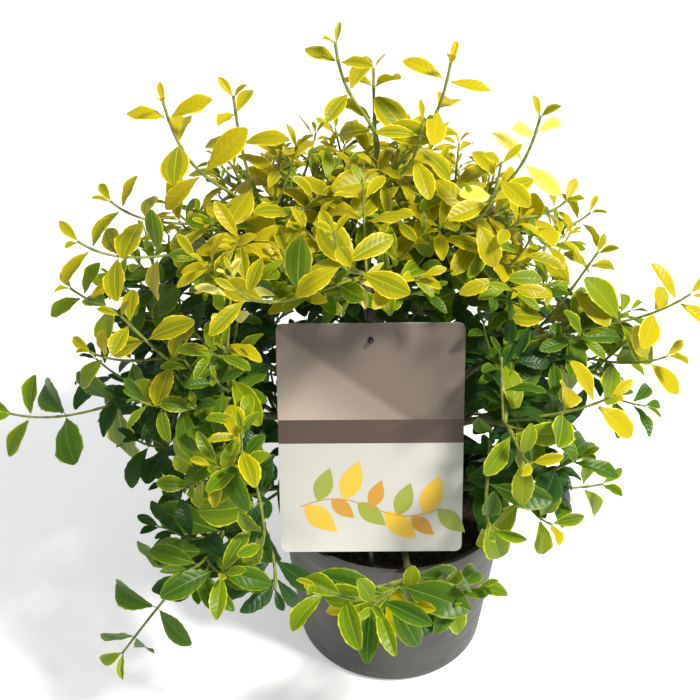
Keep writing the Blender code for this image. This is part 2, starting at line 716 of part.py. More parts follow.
def leaf_pairs(path, turn, scale, rng):
    """Where a shoot's leaves sit: root, direction, facing and length, from the tip downwards."""
    tangents, sides, crosses = frames_along(path)
    run = np.concatenate([[0.0], np.cumsum(np.linalg.norm(np.diff(path, axis=0), axis=1))])
    length = run[-1]
    count = max(2, 1 + round(length * LEAFY_SHARE / PAIR_SPACING))
    found = []
    for k in range(count):
        from_tip = TIP_PAIR_OFFSET if k == 0 else PAIR_SPACING * (k - 1 + SECOND_PAIR)
        at = length - from_tip
        if at < BARE_SHARE * length:
            break
        point = np.array([np.interp(at, run, path[:, axis]) for axis in range(3)])
        step = min(int(np.searchsorted(run, at)), len(path) - 1)
        tangent = tangents[step]
        angle = turn + k * math.pi / 2 + rng.uniform(-PAIR_JITTER, PAIR_JITTER)
        across = sides[step] * math.cos(angle) + crosses[step] * math.sin(angle)
        level = np.cross(tangent, UP)
        flatness = 1.0 - abs(tangent[2])
        if flatness > LEVEL_SLOPE:
            level = unit(level)
            turned = level * (1 if across @ level > 0 else -1)
            across = unit(across * (1 - flatness) + turned * flatness)
        spread = TIP_SPREAD if k == 0 else rng.uniform(*LEAF_SPREAD)
        size = TIP_LEAF_LENGTH if k == 0 else LEAF_LENGTH * rng.uniform(*LEAF_SIZES)
        for way in (1, -1):
            along = unit(tangent * math.cos(spread) + way * across * math.sin(spread))
            light = tangent * LIGHT_PULL[0] + UP * LIGHT_PULL[1]
            facing = unit(light - along * (light @ along))
            found.append((point, along, facing, size * scale))
    return found


def tree_of(shape):
    corners, faces = shape
    return BVHTree.FromPolygons([tuple(corner) for corner in corners], faces)


def try_leaf(place, space, home, grown):
    """The leaf as it grows, or turned or made smaller until it crosses nothing, or nothing."""
    root, along, facing, size = place
    side = np.cross(facing, along)
    for turn, lift, scale in LEAF_TRIES:
        turned = unit(along + side * turn + facing * lift)
        faced = unit(facing - turned * (facing @ turned))
        corners, faces = leaf_shape(root, turned, faced, size * scale)
        if not space.holds(leaf_samples(corners), home, LEAF_CLEARANCE):
            continue
        blade = corners.copy()
        blade[0] += turned * LEAF_NECK
        tree = tree_of((blade, faces))
        if not any(tree.overlap(other) for other in grown):
            return corners, faces
    return None


def try_shoot(stem, line, tip, share, space, home):
    """A shoot's path from its place on the stem, or from the nearest place and bend that fit."""
    for shift in SHOOT_SHIFTS:
        at_share = np.clip(share + shift, 0.05, 1.0) * (len(stem) - 1)
        at = np.array([np.interp(at_share, np.arange(len(stem)), stem[:, a]) for a in range(3)])
        for bend in SHOOT_BENDS:
            off = unit(line * bend + unit(tip - at) * TIP_PULL)
            fine = shoot_path(at, off, tip, 24, bend)
            if space.holds(fine[3:], home, SHOOT_RADIUS + LEAF_CLEARANCE):
                return shoot_path(at, off, tip, SHOOT_STEPS, bend)
    return None


def grow_mass(name, home, space, start, leave, shoots, paint, rng):
    """One stem, a shoot to each tip, the widest leaving it lowest, and their leaves, as one solid."""
    centre = space.centres[home]
    tips = [tip for tip, _ in shoots]
    heart = centre + (np.mean(tips, axis=0) - centre) * HEART_SHIFT
    heart = start + (heart - start) * STEM_SHARE
    reach = np.linalg.norm(heart - start)
    first_pull = leave * reach * STEM_PULLS[0]
    last_pull = leave * reach * STEM_PULLS[1]
    stem = curve_points(start, start + first_pull, heart - last_pull, heart, 6)
    pieces = [tube_shape(stem, np.linspace(STEM_RADIUS, SHOOT_RADIUS, 6), 5)]
    line = unit(heart - start)
    places = []
    wide = [np.linalg.norm((tip - start) - line * ((tip - start) @ line)) for tip in tips]
    shares = np.linspace(1.0, FIRST_SHOOT_SHARE, len(tips))[np.argsort(np.argsort(wide))]
    for (tip, scale), share in zip(shoots, shares):
        path = try_shoot(stem, line, tip, share, space, home)
        if path is None:
            continue
        radii = np.linspace(SHOOT_RADIUS, SHOOT_TIP_RADIUS, SHOOT_STEPS)
        radii[0] = SHOOT_FOOT_RADIUS
        turn = first_turn(path, rng)
        pieces.append(tube_shape(path, radii, 3, turn=turn))
        places += leaf_pairs(path, turn, scale, rng)
    grown = [tree_of(piece) for piece in pieces]
    leaves = []
    for place in places:
        made = try_leaf(place, space, home, grown)
        if made:
            leaves.append(made)
            grown.append(tree_of(made))
    return join_pieces(name, pieces + leaves, paint), len(leaves)


def join_pieces(name, pieces, paint):
    """One Boolean union of all the pieces, less any scrap that it leaves loose or sealed in."""
    helpers = bpy.data.collections.new(name + "_pieces")
    bpy.context.scene.collection.children.link(helpers)
    mass = add_object(name, mesh_of(name, *pieces[0]), paint)
    for i, piece in enumerate(pieces[1:]):
        add_object(f"{name}_piece_{i}", mesh_of("piece", *piece), paint, helpers)
    step = mass.modifiers.new("join", "BOOLEAN")
    step.operation = "UNION"
    step.operand_type = "COLLECTION"
    step.collection = helpers
    step.solver = "EXACT"
    bpy.context.view_layer.update()
    graph = bpy.context.evaluated_depsgraph_get()
    joined = bpy.data.meshes.new_from_object(mass.evaluated_get(graph))
    mass.modifiers.clear()
    mass.data = joined
    for helper in list(helpers.objects):
        bpy.data.objects.remove(helper)
    bpy.data.collections.remove(helpers)
    keep_largest_body(joined)
    return mass


def keep_largest_body(mesh):
    shape = bmesh.new()
    shape.from_mesh(mesh)
    bmesh.ops.triangulate(shape, faces=shape.faces)
    left = set(shape.verts)
    bodies = []
    while left:
        body = {left.pop()}
        edge = set(body)
        while edge:
            edge = {e.other_vert(v) for v in edge for e in v.link_edges} - body
            body |= edge
        left -= body
        bodies.append(body)
    largest = max(bodies, key=len)
    scraps = [v for v in shape.verts if v not in largest]
    bmesh.ops.delete(shape, geom=scraps, context="VERTS")
    shape.to_mesh(mesh)
    shape.free()


def make_limbs(bark):
    """The stem and its boughs, and the paths and radii that the leaves keep clear of."""
    path = trunk_path(12)
    radii = np.array([trunk_radius(height) for height in path[:, 2]])
    add_object("trunk", mesh_of("trunk", *tube_shape(path, radii, 10)), bark)
    limbs = [(path, radii)]
    for i, (centre, leaves_at) in enumerate(mass_centres()):
        if leaves_at is None:
            continue
        route = bough_path(centre, leaves_at, i == 0)
        widths = np.linspace(BOUGH_RADIUS, BOUGH_TIP_RADIUS, len(route))
        add_object(f"bough_{i + 1:02d}", mesh_of("bough", *tube_shape(route, widths, 6)), bark)
        limbs.append((route, widths))
    return limbs


def make_foliage(limbs, paints):
    rng = np.random.default_rng(SEED)
    masses = mass_centres()
    space = Space([centre for centre, _ in masses], limbs)
    shoots = shoot_tips(rng)
    homes = [np.argmin(np.linalg.norm(space.centres - tip, axis=1)) for tip, _ in shoots]
    total = 0
    for home, (_, leaves_at) in enumerate(masses):
        route = limbs[0][0] if leaves_at is None else limbs[home + 1][0]
        leave = unit(route[-1] - route[-2])
        own = [shoot for shoot, found in zip(shoots, homes) if found == home]
        mass, count = grow_mass(
            f"foliage_{home + 1:02d}", home, space, route[-1] + leave * GAP, leave, own,
            paints[home % len(paints)], rng,
        )
        total += count
        print(mass.name, len(own), "shoots", count, "leaves", len(mass.data.polygons), "faces")
    print("leaves in all:", total)


def main():
    for old in list(bpy.data.objects):
        bpy.data.objects.remove(old)
    pot_plastic = material("pot_plastic", (0.16, 0.15, 0.135), 0.55)
    peat = material("peat", (0.045, 0.030, 0.020), 0.95)
    card = material("label_card", (0.45, 0.38, 0.33), 0.45)
    black_plastic = material("black_plastic", (0.015, 0.015, 0.016), 0.35)
    bark = material("bark", (0.16, 0.12, 0.075), 0.85)
    gold = material("golden_leaf", (0.62, 0.53, 0.03), 0.38)
    green = material("green_leaf", (0.20, 0.32, 0.03), 0.36)
    make_pot(pot_plastic)
    soil = make_soil(peat)
    make_label(card, black_plastic, soil)
    limbs = make_limbs(bark)
    make_foliage(limbs, (green, gold))


main()
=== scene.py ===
# %% [markdown]
# # A golden Japanese spindle in its nursery pot
# This lesson dresses a finished set of solids as a living plant. The solids are loaded first and
# stay where they are. Each step then makes one real thing: the pot, the soil, the label, the bark,
# the green shoots and, last, almost three thousand leaves that all grow by one rule.

# %% Load the solids
import math

import bpy
import numpy as np
from mathutils import Matrix
from mathutils.bvhtree import BVHTree


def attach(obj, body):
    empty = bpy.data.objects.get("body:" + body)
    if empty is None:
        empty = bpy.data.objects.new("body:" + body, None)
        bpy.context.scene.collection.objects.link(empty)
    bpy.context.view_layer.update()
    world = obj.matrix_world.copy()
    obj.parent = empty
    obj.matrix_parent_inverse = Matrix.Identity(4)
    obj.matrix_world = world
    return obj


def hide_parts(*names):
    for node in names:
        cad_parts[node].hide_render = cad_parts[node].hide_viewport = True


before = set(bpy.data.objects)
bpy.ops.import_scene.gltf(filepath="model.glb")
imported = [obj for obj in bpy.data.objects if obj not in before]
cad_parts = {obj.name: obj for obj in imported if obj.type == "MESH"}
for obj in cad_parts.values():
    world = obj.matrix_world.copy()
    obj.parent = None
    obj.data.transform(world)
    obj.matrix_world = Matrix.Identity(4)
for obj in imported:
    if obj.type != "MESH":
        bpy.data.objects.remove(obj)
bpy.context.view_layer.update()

# %% [markdown]
# ## Small tools for arrays
# A shape in this lesson is a whole array of points, worked out at once. A few helpers are used
# again and again: making vectors one unit long, a smooth noise for bark and soil, and the list of
# four-cornered faces that joins a grid of points. Blender's own noise works one point at a time, so
# a sum of sine waves, which numpy does for all points together, is the quicker choice.

# %% Array helpers
UP = np.array([0.0, 0.0, 1.0])
SQUARE = np.array([(-1, -1), (1, -1), (1, 1), (-1, 1)]) / 2
SHARP_ANGLE = 40


def unit(vectors):
    """Each vector divided by its own length."""
    vectors = np.asarray(vectors, float)
    return vectors / np.linalg.norm(vectors, axis=-1, keepdims=True)


def rising(value, start, width):
    """0 up to start, 1 from start + width on, and an even rise between."""
    return np.clip((value - start) / width, 0, 1)


def circle_angles(count):
    """Even steps round a full circle, in radians."""
    return np.arange(count) * 2 * math.pi / count


def level_way(azimuth):
    """A level direction by its angle round from the x axis."""
    return np.array([math.cos(azimuth), math.sin(azimuth), 0.0])


def ripple(points, size, seed, waves=20):
    """Smooth noise of about -1 to 1: sine waves of random direction and phase, near size long."""
    rng = np.random.default_rng(seed)
    ways = unit(rng.normal(size=(waves, 3))) * rng.uniform(0.6, 1.5, (waves, 1))
    phases = rng.uniform(0.0, 2 * math.pi, waves)
    return np.sin(points @ (ways.T * 2 * math.pi / size) + phases).sum(-1) / math.sqrt(waves)


def grid_faces(rows, columns):
    """Quads that join a grid of rows by columns points, and close it round the columns."""
    row = np.arange(rows - 1)[:, None] * columns
    column = np.arange(columns)[None]
    after = (column + 1) % columns
    corners = [row + column, row + after, row + columns + after, row + columns + column]
    return np.stack(corners, -1).reshape(-1, 4)


def end_caps(rows, columns):
    """One face over the grid's first row and one over its last."""
    first = np.arange(columns)
    return np.array([first[::-1], (rows - 1) * columns + first])


def new_object(name, data):
    """An object that shows the data, linked to the scene."""
    made = bpy.data.objects.new(name, data)
    bpy.context.scene.collection.objects.link(made)
    return made


def make_piece(name, points, faces, finishes, slots=None, uv=None, sharp=None):
    """One mesh object from arrays. faces is a list of arrays, one for each number of corners."""
    mesh = bpy.data.meshes.new(name)
    corners = np.concatenate([block.ravel() for block in faces])
    sizes = np.concatenate([np.full(len(block), block.shape[1]) for block in faces])
    starts = np.cumsum(sizes) - sizes
    mesh.vertices.add(len(points))
    mesh.vertices.foreach_set("co", np.asarray(points, np.float32).ravel())
    mesh.loops.add(len(corners))
    mesh.loops.foreach_set("vertex_index", corners.astype(np.int32))
    mesh.polygons.add(len(sizes))
    mesh.polygons.foreach_set("loop_start", starts.astype(np.int32))
    if slots is not None:
        mesh.polygons.foreach_set("material_index", np.asarray(slots, np.int32))
    mesh.update(calc_edges=True)
    if uv is not None:
        layer = mesh.uv_layers.new(name="surface")
        layer.data.foreach_set("uv", np.asarray(uv, np.float32)[corners].ravel())
    mesh.shade_smooth()
    if sharp is not None:
        mesh.set_sharp_from_angle(angle=math.radians(sharp))
    for finish in finishes:
        mesh.materials.append(finish)
    print(f"{name}: {len(points)} points, {len(sizes)} faces")
    return new_object(name, mesh)


def settle(piece, slot, *nodes):
    """The piece rides on the one body and stands for its solids. The slot is not used."""
    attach(piece, "root")
    if nodes:
        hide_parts(*nodes)


# %% [markdown]
# ## Paths and tubes
# Stems, boughs, shoots and the label's holder are all tubes: a ring of points carried along a path.
# The ring's two cross directions are passed on from step to step without twisting, which keeps the
# tube from wringing at a bend. Blender's curve bevel does the same, but arrays leave the rings open
# to bark relief.

# %% Tubes along paths
def bezier(start, start_pull, end_pull, end, count):
    """Points on a cubic Bezier curve: the four controls, weighted by the Bernstein polynomials."""
    t = np.linspace(0.0, 1.0, count)[:, None]
    near = (1 - t) ** 3 * start + 3 * t * (1 - t) ** 2 * start_pull
    return near + 3 * t**2 * (1 - t) * end_pull + t**3 * end


def swept(start, leave, end, arrive, length, pulls, count):
    """A curve that leaves its start one way and arrives at its end another.

    Each pull point lies off its end by that way * length * the end's own pull.
    """
    start_pull = start + leave * length * pulls[0]
    end_pull = end - arrive * length * pulls[1]
    return bezier(start, start_pull, end_pull, end, count)


def run_along(path):
    """Distance walked along a path at each of its points."""
    steps = np.linalg.norm(np.diff(path, axis=0), axis=1)
    return np.concatenate([[0.0], np.cumsum(steps)])


def read_along(path, at, run):
    """The path's points where a measure that rises along it, such as its run, is at."""
    return np.stack([np.interp(at, run, path[:, axis]) for axis in range(3)], -1)


def through(points, count):
    """Points on a Catmull-Rom curve, which passes through each of the route's own points."""
    points = np.asarray(points, float)
    ends = np.vstack([2 * points[0] - points[1], points, 2 * points[-1] - points[-2]])
    at = np.linspace(0.0, len(points) - 1.0001, count)
    first = at.astype(int)
    t = (at - first)[:, None]
    a, b, c, d = (ends[first + i] for i in range(4))
    bend = (2 * a - 5 * b + 4 * c - d) * t**2 + (3 * b - a - 3 * c + d) * t**3
    return b + 0.5 * ((c - a) * t + bend)


def frames_along(points):
    """Tangents, and two cross directions that turn with the path but never twist round it."""
    tangents = np.gradient(points, axis=0)
    tangents[0] = points[1] - points[0]
    tangents[-1] = points[-1] - points[-2]
    tangents = unit(tangents)
    side = unit(np.cross(tangents[0], UP if abs(tangents[0][2]) < 0.9 else (1.0, 0.0, 0.0)))
    sides = []
    for tangent in tangents:
        side = unit(side - tangent * (side @ tangent))
        sides.append(side)
    sides = np.array(sides)
    return tangents, sides, np.cross(tangents, sides)


def tube(path, radii, sides, relief=None):
    """Rings of points round a path, and faces with a cap at each end.

    Ring point = path point + radius * (cos a * side + sin a * cross), where relief, an array of
    rings by sides, multiplies the radius.
    """
    _, side, cross = frames_along(path)
    angles = circle_angles(sides)
    spokes = (
        np.cos(angles)[None, :, None] * side[:, None]
        + np.sin(angles)[None, :, None] * cross[:, None]
    )
    reach = np.broadcast_to(np.asarray(radii, float)[:, None], (len(path), sides))
    if relief is not None:
        reach = reach * relief
    points = path[:, None] + reach[..., None] * spokes
    return points.reshape(-1, 3), grid_faces(len(path), sides), end_caps(len(path), sides)


def tapered(path, first, last, sides, relief=None):
    """A tube whose radius runs evenly from its first to its last."""
    return tube(path, np.linspace(first, last, len(path)), sides, relief)


def joined(tubes):
    """Many tubes of one number of sides as one set of points, quads and caps."""
    offsets = np.cumsum([0] + [len(points) for points, _, _ in tubes[:-1]])
    points = np.concatenate([points for points, _, _ in tubes])
    quads, caps = (
        np.concatenate([made[part] + offset for made, offset in zip(tubes, offsets)])
        for part in (1, 2)
    )
    return points, quads, caps


def tubes_piece(name, tubes, coat, slot, *nodes, sharp=None):
    """One piece of many tubes, settled on the body."""
    points, quads, caps = joined(tubes)
    piece = make_piece(name, points, [quads, caps], [coat], sharp=sharp)
    settle(piece, slot, *nodes)


# %% [markdown]
# ## Finishes
# Every finish starts from one shader and adds what the real surface shows: fine grain in the
# moulded pot, specks and scuffs, fibres in the bark. Numbers that are the same all over stay on the
# shader itself. Patterns read the object's own coordinates, so they stay put when the view moves.

# %% Finish helpers
def shader_of(material):
    return material.node_tree.nodes["Principled BSDF"]


def finish(name, colour, roughness):
    """A material whose one shader has a plain colour and a roughness."""
    made = bpy.data.materials.new(name)
    made.use_nodes = True
    shader_of(made).inputs["Base Color"].default_value = (*colour, 1.0)
    shader_of(made).inputs["Roughness"].default_value = roughness
    made.diffuse_color = (*colour, 1.0)
    return made


def add_node(material, kind, **values):
    """A node of a kind, with values set on its own settings or else on its sockets."""
    made = material.node_tree.nodes.new(kind)
    for key, value in values.items():
        if hasattr(made, key):
            setattr(made, key, value)
        else:
            made.inputs[key.replace("_", " ").title()].default_value = value
    return made


def feed(material, value, socket):
    """Links an output to a socket, or sets the socket to a plain number or colour."""
    if isinstance(value, bpy.types.NodeSocket):
        material.node_tree.links.new(value, socket)
    else:
        socket.default_value = (*value, 1.0) if isinstance(value, tuple) else value


def object_noise(material, scale, detail=3.0, stretch=(1.0, 1.0, 1.0), roughness=0.55):
    """Noise on object coordinates, with the pattern stretched along the axes."""
    place = add_node(material, "ShaderNodeTexCoord")
    mapping = add_node(material, "ShaderNodeMapping", Scale=stretch)
    noise = add_node(
        material, "ShaderNodeTexNoise", Scale=scale, Detail=detail, Roughness=roughness
    )
    feed(material, place.outputs["Object"], mapping.inputs["Vector"])
    feed(material, mapping.outputs["Vector"], noise.inputs["Vector"])
    return noise.outputs["Fac"]


def ramp(material, source, stops, interpolation="LINEAR"):
    """A colour ramp fed by source. stops are (position, colour) pairs."""
    node = add_node(material, "ShaderNodeValToRGB")
    node.color_ramp.interpolation = interpolation
    elements = node.color_ramp.elements
    while len(elements) < len(stops):
        elements.new(0.5)
    for element, (position, colour) in zip(elements, stops):
        element.position = position
        element.color = (*colour, 1.0)
    feed(material, source, node.inputs["Fac"])
    return node.outputs["Color"]


def mixed(material, share, first, second):
    """Two colours mixed by a share. Each of the three is an output or a plain value."""
    node = add_node(material, "ShaderNodeMix", data_type="RGBA")
    for socket, value in ((0, share), (6, first), (7, second)):
        feed(material, value, node.inputs[socket])
    return node.outputs[2]


def spread(material, source, low, high, to_low=0.0, to_high=1.0):
    """A value mapped from one range to another, and held at its ends."""
    node = add_node(material, "ShaderNodeMapRange")
    for socket, value in enumerate((source, low, high, to_low, to_high)):
        feed(material, value, node.inputs[socket])
    return node.outputs[0]


def computed(material, operation, *values):
    """A number worked out by one operation from outputs or plain numbers."""
    node = add_node(material, "ShaderNodeMath", operation=operation)
    for socket, value in zip(node.inputs, values):
        feed(material, value, socket)
    return node.outputs[0]


def surface_map(material):
    """The two numbers of a piece's own flat map."""
    uv = add_node(material, "ShaderNodeUVMap", uv_map="surface")
    parts = add_node(material, "ShaderNodeSeparateXYZ")
    feed(material, uv.outputs["UV"], parts.inputs[0])
    return parts.outputs[0], parts.outputs[1]


def coloured(material, source):
    """The shader's colour taken from a pattern."""
    feed(material, source, shader_of(material).inputs["Base Color"])


def bumped(material, height, strength, distance):
    """The shader's normal taken from a height, in metres times distance."""
    node = add_node(material, "ShaderNodeBump", Strength=strength, Distance=distance)
    feed(material, height, node.inputs["Height"])
    feed(material, node.outputs["Normal"], shader_of(material).inputs["Normal"])


# %% [markdown]
# ## The pot
# A nursery pot is one thin moulded wall: a tapering cup with a broader band round its rim, a small
# chamfer at its foot, notches in the foot and drain holes in the floor. A wheel-turned profile is
# the plain way to make it. The holes and notches are cut afterwards, as a mould would leave them.

# %% Pot sizes and profile
POT_HEIGHT = 0.108
POT_FOOT_RADIUS = 0.0575
POT_RIM_RADIUS = 0.070
POT_WALL = 0.0018
POT_FLOOR = 0.0035
BAND_HEIGHT = 0.018
BAND_STEP = 0.0011
LIP_ROUNDING = 0.0007
FOOT_CHAMFER = 0.0028
POT_SIDES = 168
SOIL_TOP = 0.095
GAP = 0.0003


def wall_radius(height):
    """The outer radius of the plain wall: a straight taper from foot to rim."""
    slope = (POT_RIM_RADIUS - BAND_STEP - POT_FOOT_RADIUS) / POT_HEIGHT
    return POT_FOOT_RADIUS + slope * height


def inner_radius(height):
    return wall_radius(height) - POT_WALL


def turned(profile, sides):
    """A closed profile of (radius, height) rows, turned into rings, with a cap at each end."""
    profile = np.asarray(profile, float)
    angles = circle_angles(sides)
    x = profile[:, :1] * np.cos(angles)
    y = profile[:, :1] * np.sin(angles)
    z = np.broadcast_to(profile[:, 1:], x.shape)
    points = np.stack([x, y, z], -1).reshape(-1, 3)
    return points, grid_faces(len(profile), sides), end_caps(len(profile), sides)


def arc(centre, radius, start, end, steps):
    """Points of (radius, height) on a quarter or so of a circle, by angle in degrees."""
    angles = np.radians(np.linspace(start, end, steps))
    offsets = np.stack([np.cos(angles), np.sin(angles)], -1) * radius
    return np.asarray(centre, float) + offsets


band = POT_HEIGHT - BAND_HEIGHT
lip = LIP_ROUNDING
outer_lip = (POT_RIM_RADIUS - lip, POT_HEIGHT - lip)
pot_profile = np.vstack([
    [(0.020, 0.0), (POT_FOOT_RADIUS - FOOT_CHAMFER - 0.0006, 0.0)],
    [(POT_FOOT_RADIUS - FOOT_CHAMFER + 0.0004, 0.0003)],
    [(wall_radius(FOOT_CHAMFER) - 0.0005, FOOT_CHAMFER - 0.0006)],
    [(wall_radius(FOOT_CHAMFER), FOOT_CHAMFER + 0.0003)],
    [(wall_radius(h), h) for h in np.linspace(0.010, band - 0.002, 7)],
    [(wall_radius(band), band), (wall_radius(band) + BAND_STEP * 0.85, band + BAND_STEP * 0.6)],
    [(wall_radius(band) + BAND_STEP, band + BAND_STEP * 1.3)],
    [(POT_RIM_RADIUS - 0.00018, POT_HEIGHT - 0.006)],
    arc(outer_lip, lip, 0, 90, 6),
    [(inner_radius(POT_HEIGHT) + 0.0004, POT_HEIGHT)],
    [(inner_radius(POT_HEIGHT), POT_HEIGHT - 0.0004)],
    [(inner_radius(h), h) for h in (0.080, 0.040, POT_FLOOR + 0.001)],
    [(inner_radius(POT_FLOOR) - 0.001, POT_FLOOR), (0.020, POT_FLOOR)],
])
print("pot profile rows:", len(pot_profile))

# %% Cut the pot's drain holes and foot notches
DRAIN_HOLES = 5
DRAIN_RING = 0.036
DRAIN_AZIMUTH = math.radians(9.0)
DRAIN_RADIUS = 0.004
NOTCHES = 4
NOTCH_AZIMUTH = math.radians(-17.5)
NOTCH_SIZE = (0.008, 0.009, 0.0044)
HOLE_SIDES = 20
HOLE_REACH = np.array([[-0.01], [0.01]])


def cut(piece, cutters):
    """Subtracts closed cutters from a piece by exact Booleans, and keeps its edges sharp."""
    for cutter in cutters:
        step = piece.modifiers.new("cut", "BOOLEAN")
        step.operation = "DIFFERENCE"
        step.solver = "EXACT"
        step.object = cutter
    bpy.context.view_layer.update()
    graph = bpy.context.evaluated_depsgraph_get()
    piece.data = bpy.data.meshes.new_from_object(piece.evaluated_get(graph))
    piece.modifiers.clear()
    for cutter in cutters:
        bpy.data.objects.remove(cutter)
    piece.data.set_sharp_from_angle(angle=math.radians(SHARP_ANGLE))


def bore(name, ends, radius, sides):
    """A closed rod between two points, to cut a round hole with."""
    points, *faces = tube(ends, [radius] * 2, sides)
    return make_piece(name, points, faces, [])


pot_points, pot_quads, pot_caps = turned(pot_profile, POT_SIDES)
pot_plastic = finish("pot_plastic", (0.050, 0.048, 0.045), 0.5)
shader_of(pot_plastic).inputs["Specular IOR Level"].default_value = 0.3
pot = make_piece("pot_shell", pot_points, [pot_quads, pot_caps], [pot_plastic], sharp=SHARP_ANGLE)
cutters = []
for azimuth in DRAIN_AZIMUTH + circle_angles(DRAIN_HOLES):
    ends = level_way(azimuth) * DRAIN_RING + UP * HOLE_REACH
    cutters.append(bore("drain_cutter", ends, DRAIN_RADIUS, HOLE_SIDES))
for azimuth in NOTCH_AZIMUTH + circle_angles(NOTCHES):
    out = level_way(azimuth)
    across = np.cross(UP, out)
    flat = SQUARE[:, :1] * out * NOTCH_SIZE[0] + SQUARE[:, 1:] * across * NOTCH_SIZE[1]
    low = out * POT_FOOT_RADIUS + flat - UP * NOTCH_SIZE[2] / 2
    box = np.vstack([low, low + UP * NOTCH_SIZE[2]])
    cutters.append(make_piece("notch_cutter", box, [grid_faces(2, 4), end_caps(2, 4)], []))
cut(pot, cutters)
settle(pot, "pot_plastic", "pot")

# %% [markdown]
# The pot's plastic is recycled and matte: a grey taupe, a little mottled, with a fine grain,
# scattered dark specks, and pale scuffs that run round the pot where others rubbed past it.

# %% Pot finish
def dress_pot(material):
    mottle = object_noise(material, 38.0, 4.0)
    base = ramp(material, mottle, [(0.35, (0.040, 0.039, 0.037)), (0.68, (0.058, 0.056, 0.053))])
    specks = object_noise(material, 620.0, 2.0)
    speck_share = spread(material, specks, 0.69, 0.73, 0.0, 0.75)
    dark = mixed(material, speck_share, base, (0.026, 0.024, 0.022))
    scuffs = object_noise(material, 42.0, 5.0, (1.0, 1.0, 7.0), 0.7)
    scuff_share = spread(material, scuffs, 0.62, 0.74, 0.0, 0.35)
    colour = mixed(material, scuff_share, dark, (0.165, 0.160, 0.150))
    coloured(material, colour)
    gloss = spread(material, scuffs, 0.35, 0.70, 0.42, 0.62)
    feed(material, gloss, shader_of(material).inputs["Roughness"])
    grain = object_noise(material, 900.0, 2.0)
    bumped(material, grain, 0.35, 0.0003)


dress_pot(pot_plastic)
print("pot finish nodes:", len(pot_plastic.node_tree.nodes))

# %% [markdown]
# ## The soil
# Potting soil is crumbly peat with bits of fibre. Its top is a turned disc whose height follows a
# smooth noise, and a few hundred crumbs lie on it. A crumb is a tiny eight-faced lump with its own
# size and tilt, which is enough at this scale.

# %% Soil surface and crumbs
SOIL_FLAT = 0.043
SOIL_SHOULDER = 0.003
SOIL_SIDES = 96
SOIL_LUMP = 0.0011
LUMP_SIZES = (0.014, 0.0045)
SOIL_RINGS = 46
CRUMBS = 900
CRUMB_SIZES = (0.0006, 0.0019)
CRUMB_STRETCHES = (0.55, 1.35)
DIAMOND = np.array([(1, 0, 0), (0, 1, 0), (-1, 0, 0), (0, -1, 0), (0, 0, 1), (0, 0, -1)], float)
DIAMOND_FACES = [
    (0, 1, 4), (1, 2, 4), (2, 3, 4), (3, 0, 4), (1, 0, 5), (2, 1, 5), (3, 2, 5), (0, 3, 5),
]
soil_rng = np.random.default_rng(5)


def soil_height(x, y):
    """The soil's top: flat in the middle, sloping near the wall, with lumps of two sizes."""
    radius = np.hypot(x, y)
    edge = inner_radius(SOIL_TOP) - GAP
    slope = rising(radius, SOIL_FLAT, edge - SOIL_FLAT)
    flat = np.stack([x, y, np.zeros_like(x)], -1)
    large, small = LUMP_SIZES
    lumps = ripple(flat, large, 3) * SOIL_LUMP + ripple(flat, small, 4) * SOIL_LUMP * 0.5
    return SOIL_TOP - SOIL_LUMP - slope * SOIL_SHOULDER + lumps


floor = POT_FLOOR + GAP
soil_edge = inner_radius(SOIL_TOP - SOIL_SHOULDER) - GAP
rows = [(0.010, floor), (inner_radius(floor) - GAP, floor)]
rows += [(inner_radius(h) - GAP, h) for h in (0.03, 0.06, SOIL_TOP - SOIL_SHOULDER - 0.003)]
rows += [(radius, SOIL_TOP) for radius in np.linspace(soil_edge, 0.001, SOIL_RINGS)]
soil_points, soil_quads, soil_caps = turned(rows, SOIL_SIDES)
top = soil_points[:, 2] > SOIL_TOP - 1e-6
soil_points[top, 2] = soil_height(soil_points[top, 0], soil_points[top, 1])

crumb_at = np.sqrt(soil_rng.uniform(0, 1, CRUMBS)) * (soil_edge - 0.003)
crumb_turn = soil_rng.uniform(0, 2 * math.pi, CRUMBS)
crumb_x, crumb_y = crumb_at * np.cos(crumb_turn), crumb_at * np.sin(crumb_turn)
crumb_size = soil_rng.uniform(*CRUMB_SIZES, (CRUMBS, 1, 1))
stretch = soil_rng.uniform(*CRUMB_STRETCHES, (CRUMBS, 6, 1))
crumb_points = DIAMOND[None] * stretch * crumb_size
crumb_points += np.stack([crumb_x, crumb_y, soil_height(crumb_x, crumb_y)], -1)[:, None]
crumb_starts = len(soil_points) + np.arange(CRUMBS) * len(DIAMOND)
crumb_faces = (np.array(DIAMOND_FACES)[None] + crumb_starts[:, None, None]).reshape(-1, 3)
peat = finish("peat", (0.030, 0.021, 0.014), 0.95)
soil_points = np.vstack([soil_points, crumb_points.reshape(-1, 3)])
soil = make_piece("soil_peat", soil_points, [soil_quads, soil_caps, crumb_faces], [peat])
settle(soil, "peat", "soil")

# %% Soil finish
shade = ramp(
    peat,
    object_noise(peat, 260.0, 4.0),
    [(0.30, (0.012, 0.008, 0.006)), (0.55, (0.040, 0.027, 0.017)), (0.74, (0.095, 0.066, 0.040))],
)
coloured(peat, shade)
bumped(peat, object_noise(peat, 900.0, 4.0), 0.6, 0.0006)

# %% [markdown]
# ## The label
# A plant label is a stiff printed card with rounded corners, hung on a peg of its black holder. The
# card is a rounded outline given a thickness. Its print is kept plain: a soft taupe ground above, a
# dark band, and a pale panel below with a simple garland of leaves in flat colours.

# %% Card outline and placement
CARD_WIDTH = 0.102
CARD_HEIGHT = 0.134
CARD_THICKNESS = 0.0008
CARD_CORNER = 0.004
CARD_FOOT = (-0.014, -0.0588, 0.1135)
CARD_LEAN = math.radians(19.0)
CARD_ROLL = math.radians(0.4)
HOLDER_RADIUS = 0.0018
PEG_RADIUS = 0.0015
PEG_DROP = 0.0095
CORNER_STEPS = 9

